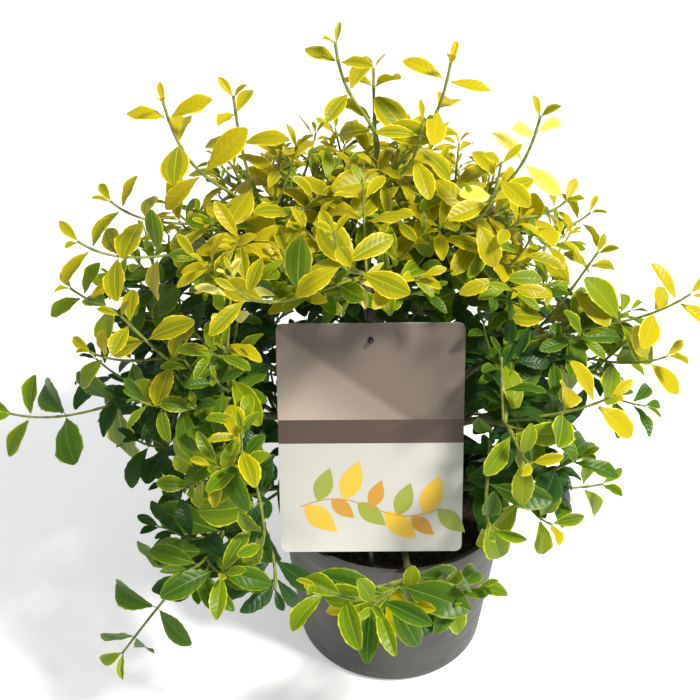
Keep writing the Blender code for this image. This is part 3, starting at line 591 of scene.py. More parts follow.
card_matrix = (
    Matrix.Translation(CARD_FOOT)
    @ Matrix.Rotation(math.pi / 2 - CARD_LEAN, 4, "X")
    @ Matrix.Rotation(CARD_ROLL, 4, "Z")
)
card_frame = np.array(card_matrix)
card_inverse = np.linalg.inv(card_frame)


def on_card(points):
    """Points given across, up and out of the card, in metres, carried to where the card leans."""
    return np.asarray(points, float) @ card_frame[:3, :3].T + card_frame[:3, 3]


def rounded_outline(width, height, corner, steps):
    """Points round a rectangle, each corner a quarter circle, from its foot upwards."""
    found = []
    for across, along, first in ((1, 0, -90), (1, 1, 0), (-1, 1, 90), (-1, 0, 180)):
        centre = (across * (width / 2 - corner), height * along + corner * (1 - 2 * along))
        found.append(arc(centre, corner, first, first + 90, steps))
    return np.concatenate(found)


def slab(outline, low, high):
    """A flat outline raised between two depths: points, side quads, and its back and front."""
    count = len(outline)
    levels = [np.column_stack([outline, np.full(count, depth)]) for depth in (low, high)]
    return np.vstack(levels), grid_faces(2, count), end_caps(2, count)


outline = rounded_outline(CARD_WIDTH, CARD_HEIGHT, CARD_CORNER, CORNER_STEPS)
card_points, card_sides, card_ends = slab(outline, -CARD_THICKNESS / 2, CARD_THICKNESS / 2)
card_print = finish("card_print", (0.50, 0.42, 0.36), 0.30)
card_core = finish("card_core", (0.72, 0.70, 0.66), 0.6)
card_uv = np.column_stack([card_points[:, 0] / CARD_WIDTH + 0.5, card_points[:, 1] / CARD_HEIGHT])
card_slots = np.concatenate([np.ones(len(card_sides)), (1, 0)])
card = make_piece(
    "label_print", on_card(card_points), [card_sides, card_ends], [card_print, card_core],
    card_slots, card_uv, sharp=SHARP_ANGLE,
)
peg_ends = on_card([(0, CARD_HEIGHT - PEG_DROP, -0.01), (0, CARD_HEIGHT - PEG_DROP, 0.01)])
cut(card, [bore("peg_hole", peg_ends, PEG_RADIUS + GAP, 24)])
settle(card, "label_card", "label_card")

# %% Card print
BAND_LOW = 0.487
BAND_HIGH = 0.590
BAND_EDGE = 0.001
LIGHT_LEAN = 0.55


def dress_card(material):
    """Bands by height up the card, and a soft light that falls across its upper half."""
    across, up = surface_map(material)
    taupe = ramp(
        material,
        computed(material, "MULTIPLY_ADD", across, LIGHT_LEAN, up),
        [(0.60, (0.42, 0.34, 0.28)), (0.95, (0.235, 0.185, 0.15)), (1.0, (0.145, 0.110, 0.088))],
        "EASE",
    )
    panel = ramp(material, up, [(0.0, (0.52, 0.51, 0.47)), (0.48, (0.47, 0.46, 0.42))])
    is_band = spread(material, up, BAND_LOW, BAND_LOW + BAND_EDGE)
    is_ground = spread(material, up, BAND_HIGH, BAND_HIGH + BAND_EDGE)
    lower = mixed(material, is_band, panel, (0.072, 0.045, 0.033))
    colour = mixed(material, is_ground, lower, taupe)
    coloured(material, colour)
    shader_of(material).inputs["Coat Weight"].default_value = 0.35
    shader_of(material).inputs["Coat Roughness"].default_value = 0.12
    bumped(material, object_noise(material, 240.0, 2.0), 0.08, 0.0002)


dress_card(card_print)

# %% Leaf garland on the card
GARLAND_LEAVES = 11
LEAF_POINTS = 24
GARLAND_WIDTH = 0.082
GARLAND_HEIGHT = 0.027
GARLAND_SWAY = 0.0055
GARLAND_TURN = 14
GARLAND_OPENING = 56
LONGEST_LEAF = 0.0245
LEAF_STEP = 0.0035
LEAF_FULLNESS = 0.25
STALK_HALF = 0.0003
INK = 0.00006
ink_gold = finish("ink_gold", (0.66, 0.42, 0.035), 0.4)
ink_green = finish("ink_green", (0.27, 0.31, 0.045), 0.4)
ink_amber = finish("ink_amber", (0.50, 0.255, 0.03), 0.4)


def garland_line(t):
    """The garland's stalk: a shallow wave from the panel's left to its right."""
    height = GARLAND_HEIGHT + GARLAND_SWAY * np.sin(t * 2 * math.pi)
    return np.stack([(t - 0.5) * GARLAND_WIDTH, height], -1)


def flat_leaf(root, angle, length):
    """A pointed oval: half width is a sine of the way along, from the root at an angle."""
    t = np.linspace(0, 1, LEAF_POINTS // 2 + 1)
    half = LEAF_FULLNESS * np.sin(math.pi * t**0.85)
    right = np.column_stack([t, -half])
    left = np.column_stack([t, half])[-2:0:-1]
    turn = np.array([[math.cos(angle), math.sin(angle)], [-math.sin(angle), math.cos(angle)]])
    return np.vstack([right, left]) * length @ turn + root


motifs = []
for k in range(GARLAND_LEAVES):
    root = garland_line(np.array([(k + 0.5) / GARLAND_LEAVES]))[0]
    angle = math.radians(GARLAND_TURN + (1 if k % 2 else -1) * GARLAND_OPENING)
    motifs.append(flat_leaf(root, angle, LONGEST_LEAF - LEAF_STEP * (k % 3)))
stalk = garland_line(np.linspace(0.02, 0.98, LEAF_POINTS // 2))
motifs.append(np.vstack([stalk - (0, STALK_HALF), (stalk + (0, STALK_HALF))[::-1]]))
motif_slots = [k % 3 for k in range(GARLAND_LEAVES)] + [2]
blocks = []
for k, shape in enumerate(motifs):
    blocks.append(slab(shape, CARD_THICKNESS / 2, CARD_THICKNESS / 2 + INK * (1 + k % 2)))
garland = joined(blocks)
garland_slots = np.concatenate([
    np.repeat(motif_slots, [len(made[1]) for made in blocks]), np.repeat(motif_slots, 2)
])
garland_piece = make_piece(
    "label_garland", on_card(garland[0]), list(garland[1:]), [ink_gold, ink_green, ink_amber],
    garland_slots, sharp=SHARP_ANGLE,
)
settle(garland_piece, "label_card")

# %% [markdown]
# The holder is one moulded black rod. It stands in the soil, runs up behind the card, ends in a
# bullet-shaped knob above it, and carries a short peg that the card hangs on.

# %% Holder
HOLDER_BEND = 0.012
HOLDER_DEPTH = 0.034
KNOB_RADIUS = 0.0028
KNOB_HEIGHT = 0.0085
PEG_REACH = 0.0045
ROD_POINTS = 60
ROD_SIDES = 20
ROD_POINT = np.array([0.85, 0.6, 0.35, 0.12])
KNOB_POINTS = 12
KNOB_FULLNESS = 2.2
KNOB_NECK = 0.0002
PEG_POINTS = 8
PEG_ROUNDING = (1.6, 0.62, 0.97)
behind = -(CARD_THICKNESS / 2 + GAP + HOLDER_RADIUS)
card_top = CARD_HEIGHT + 2 * GAP
rod_route = [(0, card_top - step, behind) for step in (0.0, 0.05, 0.10)] + [(0, 0.012, behind)]
rod_route = list(on_card(rod_route))
foot = np.array([rod_route[-1][0], rod_route[-1][1] - 0.006, SOIL_TOP])
rod_route += [foot + UP * HOLDER_BEND, foot, foot - UP * HOLDER_DEPTH]
rod_path = through(rod_route, ROD_POINTS)
rod_radii = np.full(len(rod_path), HOLDER_RADIUS)
rod_radii[-len(ROD_POINT):] = HOLDER_RADIUS * ROD_POINT
knob_turns = np.linspace(0.0, 1.0, KNOB_POINTS)
knob_heights = card_top + GAP + KNOB_HEIGHT * (1 - knob_turns)
knob_path = np.column_stack([np.zeros(KNOB_POINTS), knob_heights, np.full(KNOB_POINTS, behind)])
knob_radii = KNOB_RADIUS * np.sqrt(1 - (1 - knob_turns) ** KNOB_FULLNESS) + KNOB_NECK
peg_turns = np.linspace(0.0, 1.0, PEG_POINTS)
peg_depths = behind + (CARD_THICKNESS / 2 + PEG_REACH - behind) * peg_turns**0.5
peg_heights = np.full(PEG_POINTS, CARD_HEIGHT - PEG_DROP)
peg_path = np.column_stack([np.zeros(PEG_POINTS), peg_heights, peg_depths])
steepness, delay, most = PEG_ROUNDING
peg_radii = PEG_RADIUS * np.sqrt(1 - np.clip(peg_turns * steepness - delay, 0, most) ** 2)
rod_path = np.vstack([on_card(knob_path), rod_path])
rod = tube(rod_path, np.concatenate([knob_radii, rod_radii]), ROD_SIDES)
peg = tube(on_card(peg_path), peg_radii, ROD_SIDES)
black_plastic = finish("black_plastic", (0.012, 0.012, 0.013), 0.32)
bumped(black_plastic, object_noise(black_plastic, 700.0, 2.0), 0.2, 0.0002)
tubes_piece("holder_rod", [rod, peg], black_plastic, "black_plastic", "label_holder", sharp=60)

# %% [markdown]
# ## Stem and boughs
# The short stem has brown-grey bark with shallow furrows, a flare at the soil and rings where old
# leaves fell. The boughs are younger and greener, with fewer marks. Each is a tube whose radius is
# multiplied by a relief: long furrows, a finer grain, and raised rings at the nodes. Building the
# relief into the mesh gives it a true edge, which a bump alone can't.

# %% The course of stem and boughs
TRUNK_FOOT = np.array([0.002, 0.004, SOIL_TOP + GAP])
TRUNK_TIP = np.array([-0.016, 0.008, 0.262])
TRUNK_PULLS = (0.35, 0.30)
TRUNK_RADIUS = 0.0068
TRUNK_TIP_RADIUS = 0.0030
FLARE_RADIUS = 0.0105
FLARE_HEIGHT = 0.012
BOUGH_RADIUS = 0.0026
BOUGH_TIP_RADIUS = 0.0018
BOUGH_SPRING = 0.014
BOUGH_SHARE = 0.52
BOUGH_PULLS = (0.4, 0.3)
BOUGH_RISES = (0.35, 0.55)
LOWEST_RING_TOP = 0.2
BOUGH_LIFT = 0.25
BOUGH_STAGGER = 0.005
CARD_DETOUR = 0.010
BOUGH_STEPS = 26
CROWN_HEART = np.array([-0.018, 0.0, 0.165])
RINGS = (
    (6, -90.0, 60.0, 0.100, 0.150, 0.1065),
    (6, -45.0, 54.0, 0.104, 0.218, 0.156),
    (3, -180.0, 90.0, 0.056, 0.300, 0.246),
)
TOP_MASS = np.array([-0.014, 0.002, 0.352])
FRONT_MASS = np.array([0.006, -0.104, 0.131])
FRONT_ROUTE = ((0.004, -0.030, 0.1015), (0.006, -0.056, 0.1035), (0.006, -0.074, 0.1165))


def trunk_path(count):
    """The stem leaves the soil upright and leans towards the crown's heart."""
    rise = TRUNK_TIP[2] - TRUNK_FOOT[2]
    return swept(TRUNK_FOOT, UP, TRUNK_TIP, UP, rise, TRUNK_PULLS, count)


def trunk_radius(height):
    """A steady taper, widened near the soil by the root flare."""
    share = (height - TRUNK_FOOT[2]) / (TRUNK_TIP[2] - TRUNK_FOOT[2])
    plain = TRUNK_RADIUS + (TRUNK_TIP_RADIUS - TRUNK_RADIUS) * share
    near = np.clip(1 - (height - TRUNK_FOOT[2]) / FLARE_HEIGHT, 0, 1)
    return plain + (FLARE_RADIUS - TRUNK_RADIUS) * near**2


def trunk_point(height):
    path = trunk_path(60)
    return read_along(path, height, path[:, 2])


def mass_centres():
    """Each mass's centre, with the height at which its bough leaves the stem."""
    found = []
    for count, first, turn, radius, height, leaves_at in RINGS:
        for i in range(count):
            centre = CROWN_HEART + level_way(math.radians(first + turn * i)) * radius
            centre[2] = height
            found.append((centre, leaves_at + BOUGH_STAGGER * (i % 2)))
    found[0] = (FRONT_MASS, found[0][1])
    found.append((TOP_MASS, None))
    return found


def way_round_card(start, centre):
    """A point just behind the card's nearer edge, where the straight way would cross the card."""
    low = card_inverse[:3, :3] @ start + card_inverse[:3, 3]
    high = card_inverse[:3, :3] @ centre + card_inverse[:3, 3]
    if low[2] * high[2] > 0:
        return None
    x, y, _ = low + (high - low) * low[2] / (low[2] - high[2])
    half = CARD_WIDTH / 2 + CARD_DETOUR
    if abs(x) > half or y > CARD_HEIGHT + CARD_DETOUR:
        return None
    return on_card((math.copysign(half, x), y, -CARD_DETOUR))


def bough_path(centre, leaves_at, is_front, count):
    """From the stem's bark out to the edge of its mass: steep at first, then towards its centre."""
    start = trunk_point(leaves_at)
    if is_front:
        route = [np.array(point) for point in FRONT_ROUTE]
        first = unit(route[0] - start)
        slant = BOUGH_RADIUS * abs(first[2])
        start = start + first * (trunk_radius(leaves_at - 2 * BOUGH_RADIUS) + slant + 3 * GAP)
        return through([start, *route], count)
    away = centre - start
    away[2] = 0.0
    first = unit(unit(away) + UP * BOUGH_RISES[int(centre[2] > LOWEST_RING_TOP)])
    clear = trunk_radius(leaves_at - BOUGH_RADIUS) + GAP + BOUGH_RADIUS * first[2]
    start = start + unit(away) * clear
    detour = way_round_card(start, centre)
    if detour is not None:
        end = detour + (centre - detour) * BOUGH_SHARE / 2
        start = start + unit(away) * GAP
        return through([start, start + first * BOUGH_SPRING, detour, end], count)
    end = start + (centre - start) * BOUGH_SHARE
    length = np.linalg.norm(end - start)
    last = unit(unit(centre - start) + UP * BOUGH_LIFT)
    return swept(start, first, end, last, length, BOUGH_PULLS, count)


masses = mass_centres()
centres = np.array([centre for centre, _ in masses])
boughs = {
    home: bough_path(centre, leaves_at, home == 0, BOUGH_STEPS)
    for home, (centre, leaves_at) in enumerate(masses)
    if leaves_at is not None
}
print("boughs:", len(boughs))

# %% Bark relief
TRUNK_SIDES = 32
TRUNK_RINGS = 150
TRUNK_SEED = 11
BOUGH_SIDES = 14
BOUGH_RINGS = 70
BOUGH_SEED = 20
TRUNK_RELIEF = (0.085, 0.021, 0.07)
BOUGH_RELIEF = (0.05, 0.017, 0.13)
BARK_TURN = 0.004
FURROW_SIZE = 0.0034
FURROW_STRETCH = 0.22
GRAIN_SIZE = 0.0013
RING_LENGTH = 0.0011
ROOTED = 0.002


def bark_relief(path, sides, seed, depth, node_gap, node_rise):
    """Radius factors: 1 + depth * (long furrows + fine grain) + a raised ring at each node.

    The noise is read on a thin cylinder whose length is shortened, so its furrows run lengthways.
    """
    angles = circle_angles(sides)
    run = run_along(path)[:, None] + 0 * angles
    turns = angles[None] + 0 * run
    around = np.stack(
        [np.cos(turns) * BARK_TURN, np.sin(turns) * BARK_TURN, run * FURROW_STRETCH], -1
    )
    furrows = ripple(around, FURROW_SIZE, seed)
    grain = ripple(around * (1.0, 1.0, 3.0), GRAIN_SIZE, seed + 1)
    beside = (run + node_gap / 2) % node_gap - node_gap / 2
    rings = np.exp(-((beside / RING_LENGTH) ** 2))
    return 1 + depth * (0.7 * furrows + 0.4 * grain) + node_rise * rings


def rooted(path):
    """The path with its first point drawn back, so that the limb grows out of the one below."""
    return np.vstack([path[0] - unit(path[1] - path[0]) * ROOTED, path])


bark = finish("bark", (0.150, 0.110, 0.070), 0.85)
green_bark = finish("green_bark", (0.120, 0.130, 0.055), 0.62)
trunk_line = trunk_path(TRUNK_RINGS)
trunk_relief = bark_relief(trunk_line, TRUNK_SIDES, TRUNK_SEED, *TRUNK_RELIEF)
trunk_tube = tube(trunk_line, trunk_radius(trunk_line[:, 2]), TRUNK_SIDES, trunk_relief)
tubes_piece("bark_stem", [trunk_tube], bark, "bark", "trunk")

bough_tubes = []
for home, path in boughs.items():
    line = rooted(through(path, BOUGH_RINGS))
    relief = bark_relief(line, BOUGH_SIDES, BOUGH_SEED + home, *BOUGH_RELIEF)
    bough_tubes.append(tapered(line, BOUGH_RADIUS, BOUGH_TIP_RADIUS, BOUGH_SIDES, relief))
bough_nodes = [f"bough_{home + 1:02d}" for home in boughs]
tubes_piece("bark_boughs", bough_tubes, green_bark, "bark", *bough_nodes)


# %% Bark finishes
def dress_bark(material, dark, middle, light, size):
    """Lengthways streaks of three browns, pale pores, and a rough bump."""
    streaks = object_noise(material, size, 6.0, (1.0, 1.0, 0.18), 0.65)
    base = ramp(material, streaks, [(0.30, dark), (0.52, middle), (0.75, light)])
    pores = object_noise(material, 1100.0, 2.0, (1.0, 1.0, 0.5))
    pore_share = spread(material, pores, 0.66, 0.72, 0.0, 0.55)
    colour = mixed(material, pore_share, base, light)
    coloured(material, colour)
    bumped(material, streaks, 0.7, 0.0005)


dress_bark(bark, (0.055, 0.038, 0.024), (0.145, 0.108, 0.068), (0.290, 0.235, 0.160), 420.0)
dress_bark(green_bark, (0.060, 0.058, 0.028), (0.115, 0.122, 0.050), (0.230, 0.215, 0.120), 500.0)

# %% [markdown]
# ## Where the shoots grow
# The crown follows one rule. Shoot tips are spread over a dome by turning each by the golden angle,
# a few long leaders stand out of it, and every tip belongs to the nearest mass. A shoot leaves its
# mass's stem, bends, and turns up to the light, or hangs where it is low. The rule and its numbers
# are the solids' own, so each leafy mass fills the space that its solid keeps.

# %% Shoot tips
CROWN_REACH = (0.155, 0.148, 0.166)
CROWN_REACH_DOWN = 0.061
CROWN_LOWEST = -0.38
TIP_COUNT = 97
TIP_REACH = (0.84, 1.02)
TIP_JITTER = 0.12
INNER_TIP_COUNT = 16
INNER_TIP_REACH = (0.55, 0.72)
LEADER_ROOM = 0.040
OPEN_SIDE = np.array([-0.148, -0.062, 0.158])
OPEN_SIDE_ROOM = 0.036
GOLDEN_ANGLE = math.pi * (3.0 - math.sqrt(5.0))
SEED = 31
LEADER_TIPS = np.array([
    (-0.033, 0.000, 0.392), (-0.014, 0.030, 0.366), (0.022, -0.005, 0.384),
    (0.009, -0.022, 0.362), (0.068, 0.000, 0.354), (0.045, -0.042, 0.350),
    (-0.084, 0.010, 0.360), (-0.116, -0.010, 0.366), (-0.150, 0.002, 0.305),
    (-0.162, -0.030, 0.300), (-0.178, 0.004, 0.250), (-0.139, -0.060, 0.276),
    (-0.213, -0.030, 0.190), (-0.106, -0.100, 0.200), (-0.151, -0.108, 0.084),
    (-0.070, -0.118, 0.176), (0.008, -0.122, 0.138), (0.032, -0.112, 0.136),
    (-0.024, -0.114, 0.130), (0.046, -0.110, 0.178), (0.064, -0.098, 0.213),
    (0.106, -0.070, 0.233), (0.152, -0.020, 0.262), (0.108, 0.012, 0.268),
    (0.088, 0.012, 0.300), (-0.033, -0.088, 0.340), (-0.077, -0.094, 0.312),
    (-0.006, -0.055, 0.356), (0.084, -0.070, 0.145), (0.132, 0.000, 0.150),
    (-0.035, 0.150, 0.250), (0.060, 0.140, 0.215), (-0.120, 0.110, 0.235),
    (0.103, 0.020, 0.288), (0.146, -0.020, 0.222), (0.118, -0.034, 0.142),
    (-0.166, -0.022, 0.226), (0.002, -0.068, 0.286), (-0.036, -0.068, 0.284),
    (0.030, -0.066, 0.282),
])
FRINGE_HEIGHTS = (0.035, 0.072, 0.110)
FRINGE_OUT = 0.017


def dome_reach(direction):
    """Distance from the crown's heart to the dome along a direction: an ellipsoid's radius."""
    up = CROWN_REACH[2] if direction[2] > 0 else CROWN_REACH_DOWN
    return 1.0 / np.linalg.norm(direction / np.array([CROWN_REACH[0], CROWN_REACH[1], up]))


def shoot_tips():
    """Tips, each with True where it is a leader: leaders, the label's fringe, then the dome."""
    rng = np.random.default_rng(SEED)
    found = [(tip, True) for tip in LEADER_TIPS]
    for side in (-1, 1):
        for height in FRINGE_HEIGHTS:
            tip = on_card((side * (CARD_WIDTH / 2 + FRINGE_OUT), height, -HOLDER_RADIUS))
            found.append((tip, False))
    for count, reach in ((TIP_COUNT, TIP_REACH), (INNER_TIP_COUNT, INNER_TIP_REACH)):
        for k in range(count):
            rise = 1.0 - (k + 0.5) / count * (1.0 - CROWN_LOWEST)
            azimuth = k * GOLDEN_ANGLE + rng.uniform(-TIP_JITTER, TIP_JITTER)
            flat = math.sqrt(1.0 - rise**2)
            direction = np.array([flat * math.cos(azimuth), flat * math.sin(azimuth), rise])
            tip = CROWN_HEART + direction * dome_reach(direction) * rng.uniform(*reach)
            is_open = np.linalg.norm(tip - OPEN_SIDE) < OPEN_SIDE_ROOM
            if not is_open and np.linalg.norm(tip - LEADER_TIPS, axis=1).min() > LEADER_ROOM:
                found.append((tip, False))
    return found


tips = shoot_tips()
homes = [int(np.argmin(np.linalg.norm(centres - tip, axis=1))) for tip, _ in tips]
print("shoot tips:", len(tips))

# %% Room to grow
CELL_MARGIN = 0.0006
LEAF_CLEARANCE = 0.0012
FLOOR_ROOM = 0.004
LABEL_ROOM = 0.002
HOLDER_ROOM = (0.006, 0.009)
HOLDER_SPAN = (-0.030, 0.003)
READING_SIDE = np.array([0.0, -0.767, 0.641])
LIMB_STEPS = 16
LIMB_SKIP = 3
limb_paths = [trunk_path(LIMB_STEPS)] + [path[::LIMB_SKIP] for path in boughs.values()]
limb_starts = np.vstack([path[:-1] for path in limb_paths])
limb_ends = np.vstack([path[1:] for path in limb_paths])
limb_radii = np.concatenate([
    trunk_radius(limb_paths[0][:-1, 2]),
    *(np.full(len(path) - 1, BOUGH_RADIUS) for path in limb_paths[1:]),
])
card_sight = unit(card_inverse[:3, :3] @ READING_SIDE)


def in_cell(points, home):
    """True where every point is nearer its own mass's centre than any other's, by a margin."""
    others = np.delete(centres, home, axis=0)
    axes = unit(others - centres[home])
    middles = (others + centres[home]) / 2
    depth = np.einsum("pkx,kx->pk", points[:, None] - middles[None], axes)
    return bool((depth < -CELL_MARGIN).all())


def limb_room(points):
    """Distance from each point to the nearest bark: to a segment, less that segment's radius."""
    along = limb_ends - limb_starts
    share = np.clip(((points[:, None] - limb_starts) * along).sum(2) / (along**2).sum(1), 0, 1)
    nearest = limb_starts + share[..., None] * along
    return (np.linalg.norm(points[:, None] - nearest, axis=2) - limb_radii).min(1)


def clear_of_pot(points):
    across = np.hypot(points[:, 0], points[:, 1])
    over = points[:, 2] > POT_HEIGHT + LEAF_CLEARANCE
    outside = across > POT_RIM_RADIUS + 2 * LEAF_CLEARANCE
    return bool((over | outside).all() and (points[:, 2] > FLOOR_ROOM).all())


def clear_of_label(points):
    """Nothing touches the card or its holder, or hangs across the view onto its face."""
    local = points @ card_inverse[:3, :3].T + card_inverse[:3, 3]
    depth = local[:, 2] + 2 * HOLDER_RADIUS + CARD_THICKNESS + LEAF_CLEARANCE
    seen = local - np.clip(local[:, 2:3], 0, None) * card_sight / card_sight[2]
    inside = (np.abs(seen[:, 0]) < CARD_WIDTH / 2 + LABEL_ROOM) & (depth > 0)
    inside &= (seen[:, 1] > -LABEL_ROOM) & (seen[:, 1] < CARD_HEIGHT + LABEL_ROOM)
    beside = (np.abs(local[:, 0]) < HOLDER_ROOM[0]) & (np.abs(local[:, 2]) < HOLDER_ROOM[1])
    beside &= local[:, 1] < CARD_HEIGHT + KNOB_HEIGHT + HOLDER_SPAN[1]
    beside &= local[:, 1] > HOLDER_SPAN[0]
    return not bool((inside | beside).any())


def has_room(points, room):
    """Clear of pot and label, and further than room from all bark."""
    clear = clear_of_pot(points) and clear_of_label(points)
    return clear and bool((limb_room(points) > room).all())


# %% Shoots
STEM_RADIUS = 0.0017
SHOOT_RADIUS = 0.0011
SHOOT_TIP_RADIUS = 0.0007
TWIG_RADIUS = 0.0008
TWIG_TIP_RADIUS = 0.0006
FIRST_SHOOT_SHARE = 0.12
STEM_PULLS = (0.4, 0.1)
STEM_STEPS = 16
STEM_BASE = 0.05
HEART_SHIFT = 0.3
STEM_SHARE = 0.78
SHOOT_PULLS = (0.34, 0.36)
TIP_PULL = 1.4
UPTURN = 0.9
RISER_FROM = 0.336
RISER_UPTURN = 2.6
RISER_PULLS = (0.34, 0.58)
HANG = 0.6
HANG_BELOW = 0.03
SHOOT_SHIFTS = (0.0, 0.15, -0.15, 0.3, -0.3, 0.5, -0.5)
SHOOT_BENDS = (1.0, 0.5, 0.0)
SHOOT_STEPS = 26
SHOOT_FREE = 3
TWIG_STEPS = 12
TWIG_FREE = 4


def shoot_path(start, leave, tip, count, bend):
    """A shoot sets off with its stem, then turns up to the light, or droops where it hangs low."""
    length = np.linalg.norm(tip - start)
    outward = unit(tip - CROWN_HEART)
    turn, pulls = outward + UP * UPTURN, SHOOT_PULLS
    if tip[2] < CROWN_HEART[2] - HANG_BELOW:
        turn = outward - UP * HANG
    elif tip[2] > RISER_FROM:
        turn, pulls = UP * RISER_UPTURN, RISER_PULLS
    last = unit(unit(tip - start) + turn * bend)
    return swept(start, leave, tip, last, length, pulls, count)


def try_shoot(stem, line, tip, share, home):
    """A shoot's path from its place on the stem, or from the nearest place and bend that fit."""
    for shift in SHOOT_SHIFTS:
        at_share = np.clip(share + shift, STEM_BASE, 1.0) * (len(stem) - 1)
        at = read_along(stem, at_share, np.arange(len(stem)))
        for bend in SHOOT_BENDS:
            off = unit(line * bend + unit(tip - at) * TIP_PULL)
            path = shoot_path(at, off, tip, SHOOT_STEPS, bend)
            free = path[SHOOT_FREE:]
            if in_cell(free, home) and has_room(free, SHOOT_RADIUS + LEAF_CLEARANCE):
                return path
    return None


def mass_stem(home, own_tips):
    """The stem that carries a mass: from its bough's tip to the middle of its space."""
    limb = boughs[home] if home in boughs else trunk_path(BOUGH_STEPS)
    leave = unit(limb[-1] - limb[-2])
    start = limb[-1] + leave * GAP
    heart = centres[home] + (np.mean(own_tips, axis=0) - centres[home]) * HEART_SHIFT
    heart = start + (heart - start) * STEM_SHARE
    reach = np.linalg.norm(heart - start)
    return swept(start, leave, heart, leave, reach, STEM_PULLS, STEM_STEPS)


stems, shoots = [], []
for home in range(len(masses)):
    own = [(tip, leads) for (tip, leads), found in zip(tips, homes) if found == home]
    stem = mass_stem(home, [tip for tip, _ in own])
    stems.append(stem)
    line = unit(stem[-1] - stem[0])
    off_line = [np.linalg.norm((tip - stem[0]) - line * ((tip - stem[0]) @ line)) for tip, _ in own]
    shares = np.linspace(1.0, FIRST_SHOOT_SHARE, len(own))[np.argsort(np.argsort(off_line))]
    for (tip, leads), share in zip(own, shares):
        path = try_shoot(stem, line, tip, share, home)
        if path is not None:
            shoots.append((path, leads))
print("shoots:", len(shoots), "of", len(tips))

# %% [markdown]
# ## Where the leaves sit
# Leaves stand in opposite pairs, each pair a quarter turn from the next, and turn their faces to
# the light. Close to a tip the pairs crowd into a rosette, and further down the gaps widen, most of
# all on the long leaders. Short side twigs grow from the pairs of the stronger shoots and end in
# rosettes of their own. Low in the shade there are fewer twigs and larger leaves. The older wood
# inside the crown bears short twigs too. A leaf that would cross another, or touch bark, pot or
# label, is turned, lifted or made smaller, and in the end left out. That check reads a plain
# eight-faced kite in place of the full leaf.

# %% Pairs of leaves along a shoot
PAIR_JITTER = 0.14
BARE_SHARE = 0.10
LEVEL_SLOPE = 0.25
LIGHT_PULL = (0.5, 0.9)
SUNWARD = np.array([0.04, -0.34, 0.94])
LEADER_LEAN = 0.72
LEADER_LIFT = 0.7
OPEN_SIDE_FROM = 0.02
LEVEL_FROM = 0.55
PAIR_SIZES = (0.013, 0.024, 0.031, 0.035, 0.037, 0.037, 0.036, 0.034)
LEADER_SIZES = (0.015, 0.025, 0.032, 0.035, 0.036, 0.036, 0.035, 0.034)
PAIR_SPREADS = np.radians((26.0, 52.0, 68.0, 76.0, 80.0, 83.0, 86.0, 88.0))
LEADER_SPREADS = np.radians((40.0, 74.0, 80.0, 84.0, 86.0, 87.0, 88.0, 89.0))
SPACINGS = (0.85, 1.2)
LENGTHS = (0.84, 1.14)
SPREAD_JITTER = 0.14
ROSETTE = (0.0012, 0.0042, 0.0021)
LEADER = (0.0012, 0.0048, 0.0038)
TWIG_ROSETTE = (0.0012, 0.0044, 0.0022)
grow_rng = np.random.default_rng(SEED + 16)


def pair_places(path, pattern, scale):
    """Points, tangents and cross directions of a shoot's pairs, from its tip downwards.

    Distance from the tip to pair k = a + b * k + c * k * k, times the shoot's scale.
    """
    tangents, sides, crosses = frames_along(path)
    run = run_along(path)
    k = np.arange(len(PAIR_SIZES))
    at = run[-1] - (pattern[0] + pattern[1] * k + pattern[2] * k**2) * scale
    at = at[at > BARE_SHARE * run[-1]]
    step = np.minimum(np.searchsorted(run, at), len(path) - 1)
    return read_along(path, at, run), tangents[step], sides[step], crosses[step], at


def first_turn(path):
    """The angle of a shoot's first pair: any when upright, level when the shoot lies over."""
    tangents, sides, crosses = frames_along(path)
    level = np.cross(tangents[-1], UP)
    if np.linalg.norm(level) < LEVEL_FROM:
        return grow_rng.uniform(0, math.pi)
    return math.atan2(level @ crosses[-1], level @ sides[-1])


def leaf_places(path, pattern, scale):
    """Root, direction, facing, length and pair number of every leaf along one shoot."""
    leads = pattern is LEADER
    spacing = scale * grow_rng.uniform(*SPACINGS)
    points, tangents, sides, crosses, _ = pair_places(path, pattern, spacing)
    turn = first_turn(path)
    spreads, sizes = (LEADER_SPREADS, LEADER_SIZES) if leads else (PAIR_SPREADS, PAIR_SIZES)
    sunward = SUNWARD
    if leads:
        lean = math.copysign(LEADER_LEAN, path[-1][1] - OPEN_SIDE_FROM)
        sunward = unit(np.array([0.0, lean, LEADER_LIFT]))
    found = []
    for k, (point, tangent, side, cross) in enumerate(zip(points, tangents, sides, crosses)):
        angle = turn + k * math.pi / 2 + grow_rng.uniform(-PAIR_JITTER, PAIR_JITTER)
        across = side * math.cos(angle) + cross * math.sin(angle)
        level = np.cross(tangent, UP)
        flatness = 1.0 - abs(tangent[2])
        if flatness > LEVEL_SLOPE and not leads:
            level = unit(level)
            turned_level = level * (1 if across @ level > 0 else -1)
            across = unit(across * (1 - flatness) + turned_level * flatness)
        for way in (1, -1):
            open_angle = spreads[k] + grow_rng.uniform(-SPREAD_JITTER, SPREAD_JITTER)
            along = unit(tangent * math.cos(open_angle) + way * across * math.sin(open_angle))
            light = tangent * LIGHT_PULL[0] + sunward * LIGHT_PULL[1]
            facing = unit(light - along * (light @ along))
            length = sizes[k] * scale * grow_rng.uniform(*LENGTHS)
            found.append((point, along, facing, length, k))
    return found


# %% Side twigs
TWIG_FIRST_PAIR = (1, 4)
TWIG_CHANCES = (0.36, 0.96)
TWIG_LENGTHS = (0.018, 0.044)
TWIG_ANGLE = math.radians(46.0)
TWIG_UPTURN = 0.8
TWIG_PULLS = (0.4, 0.35)
DOME_ALLOWANCE = 1.06
SHADE_FROM = 0.18
SHADE_DEPTH = 0.10


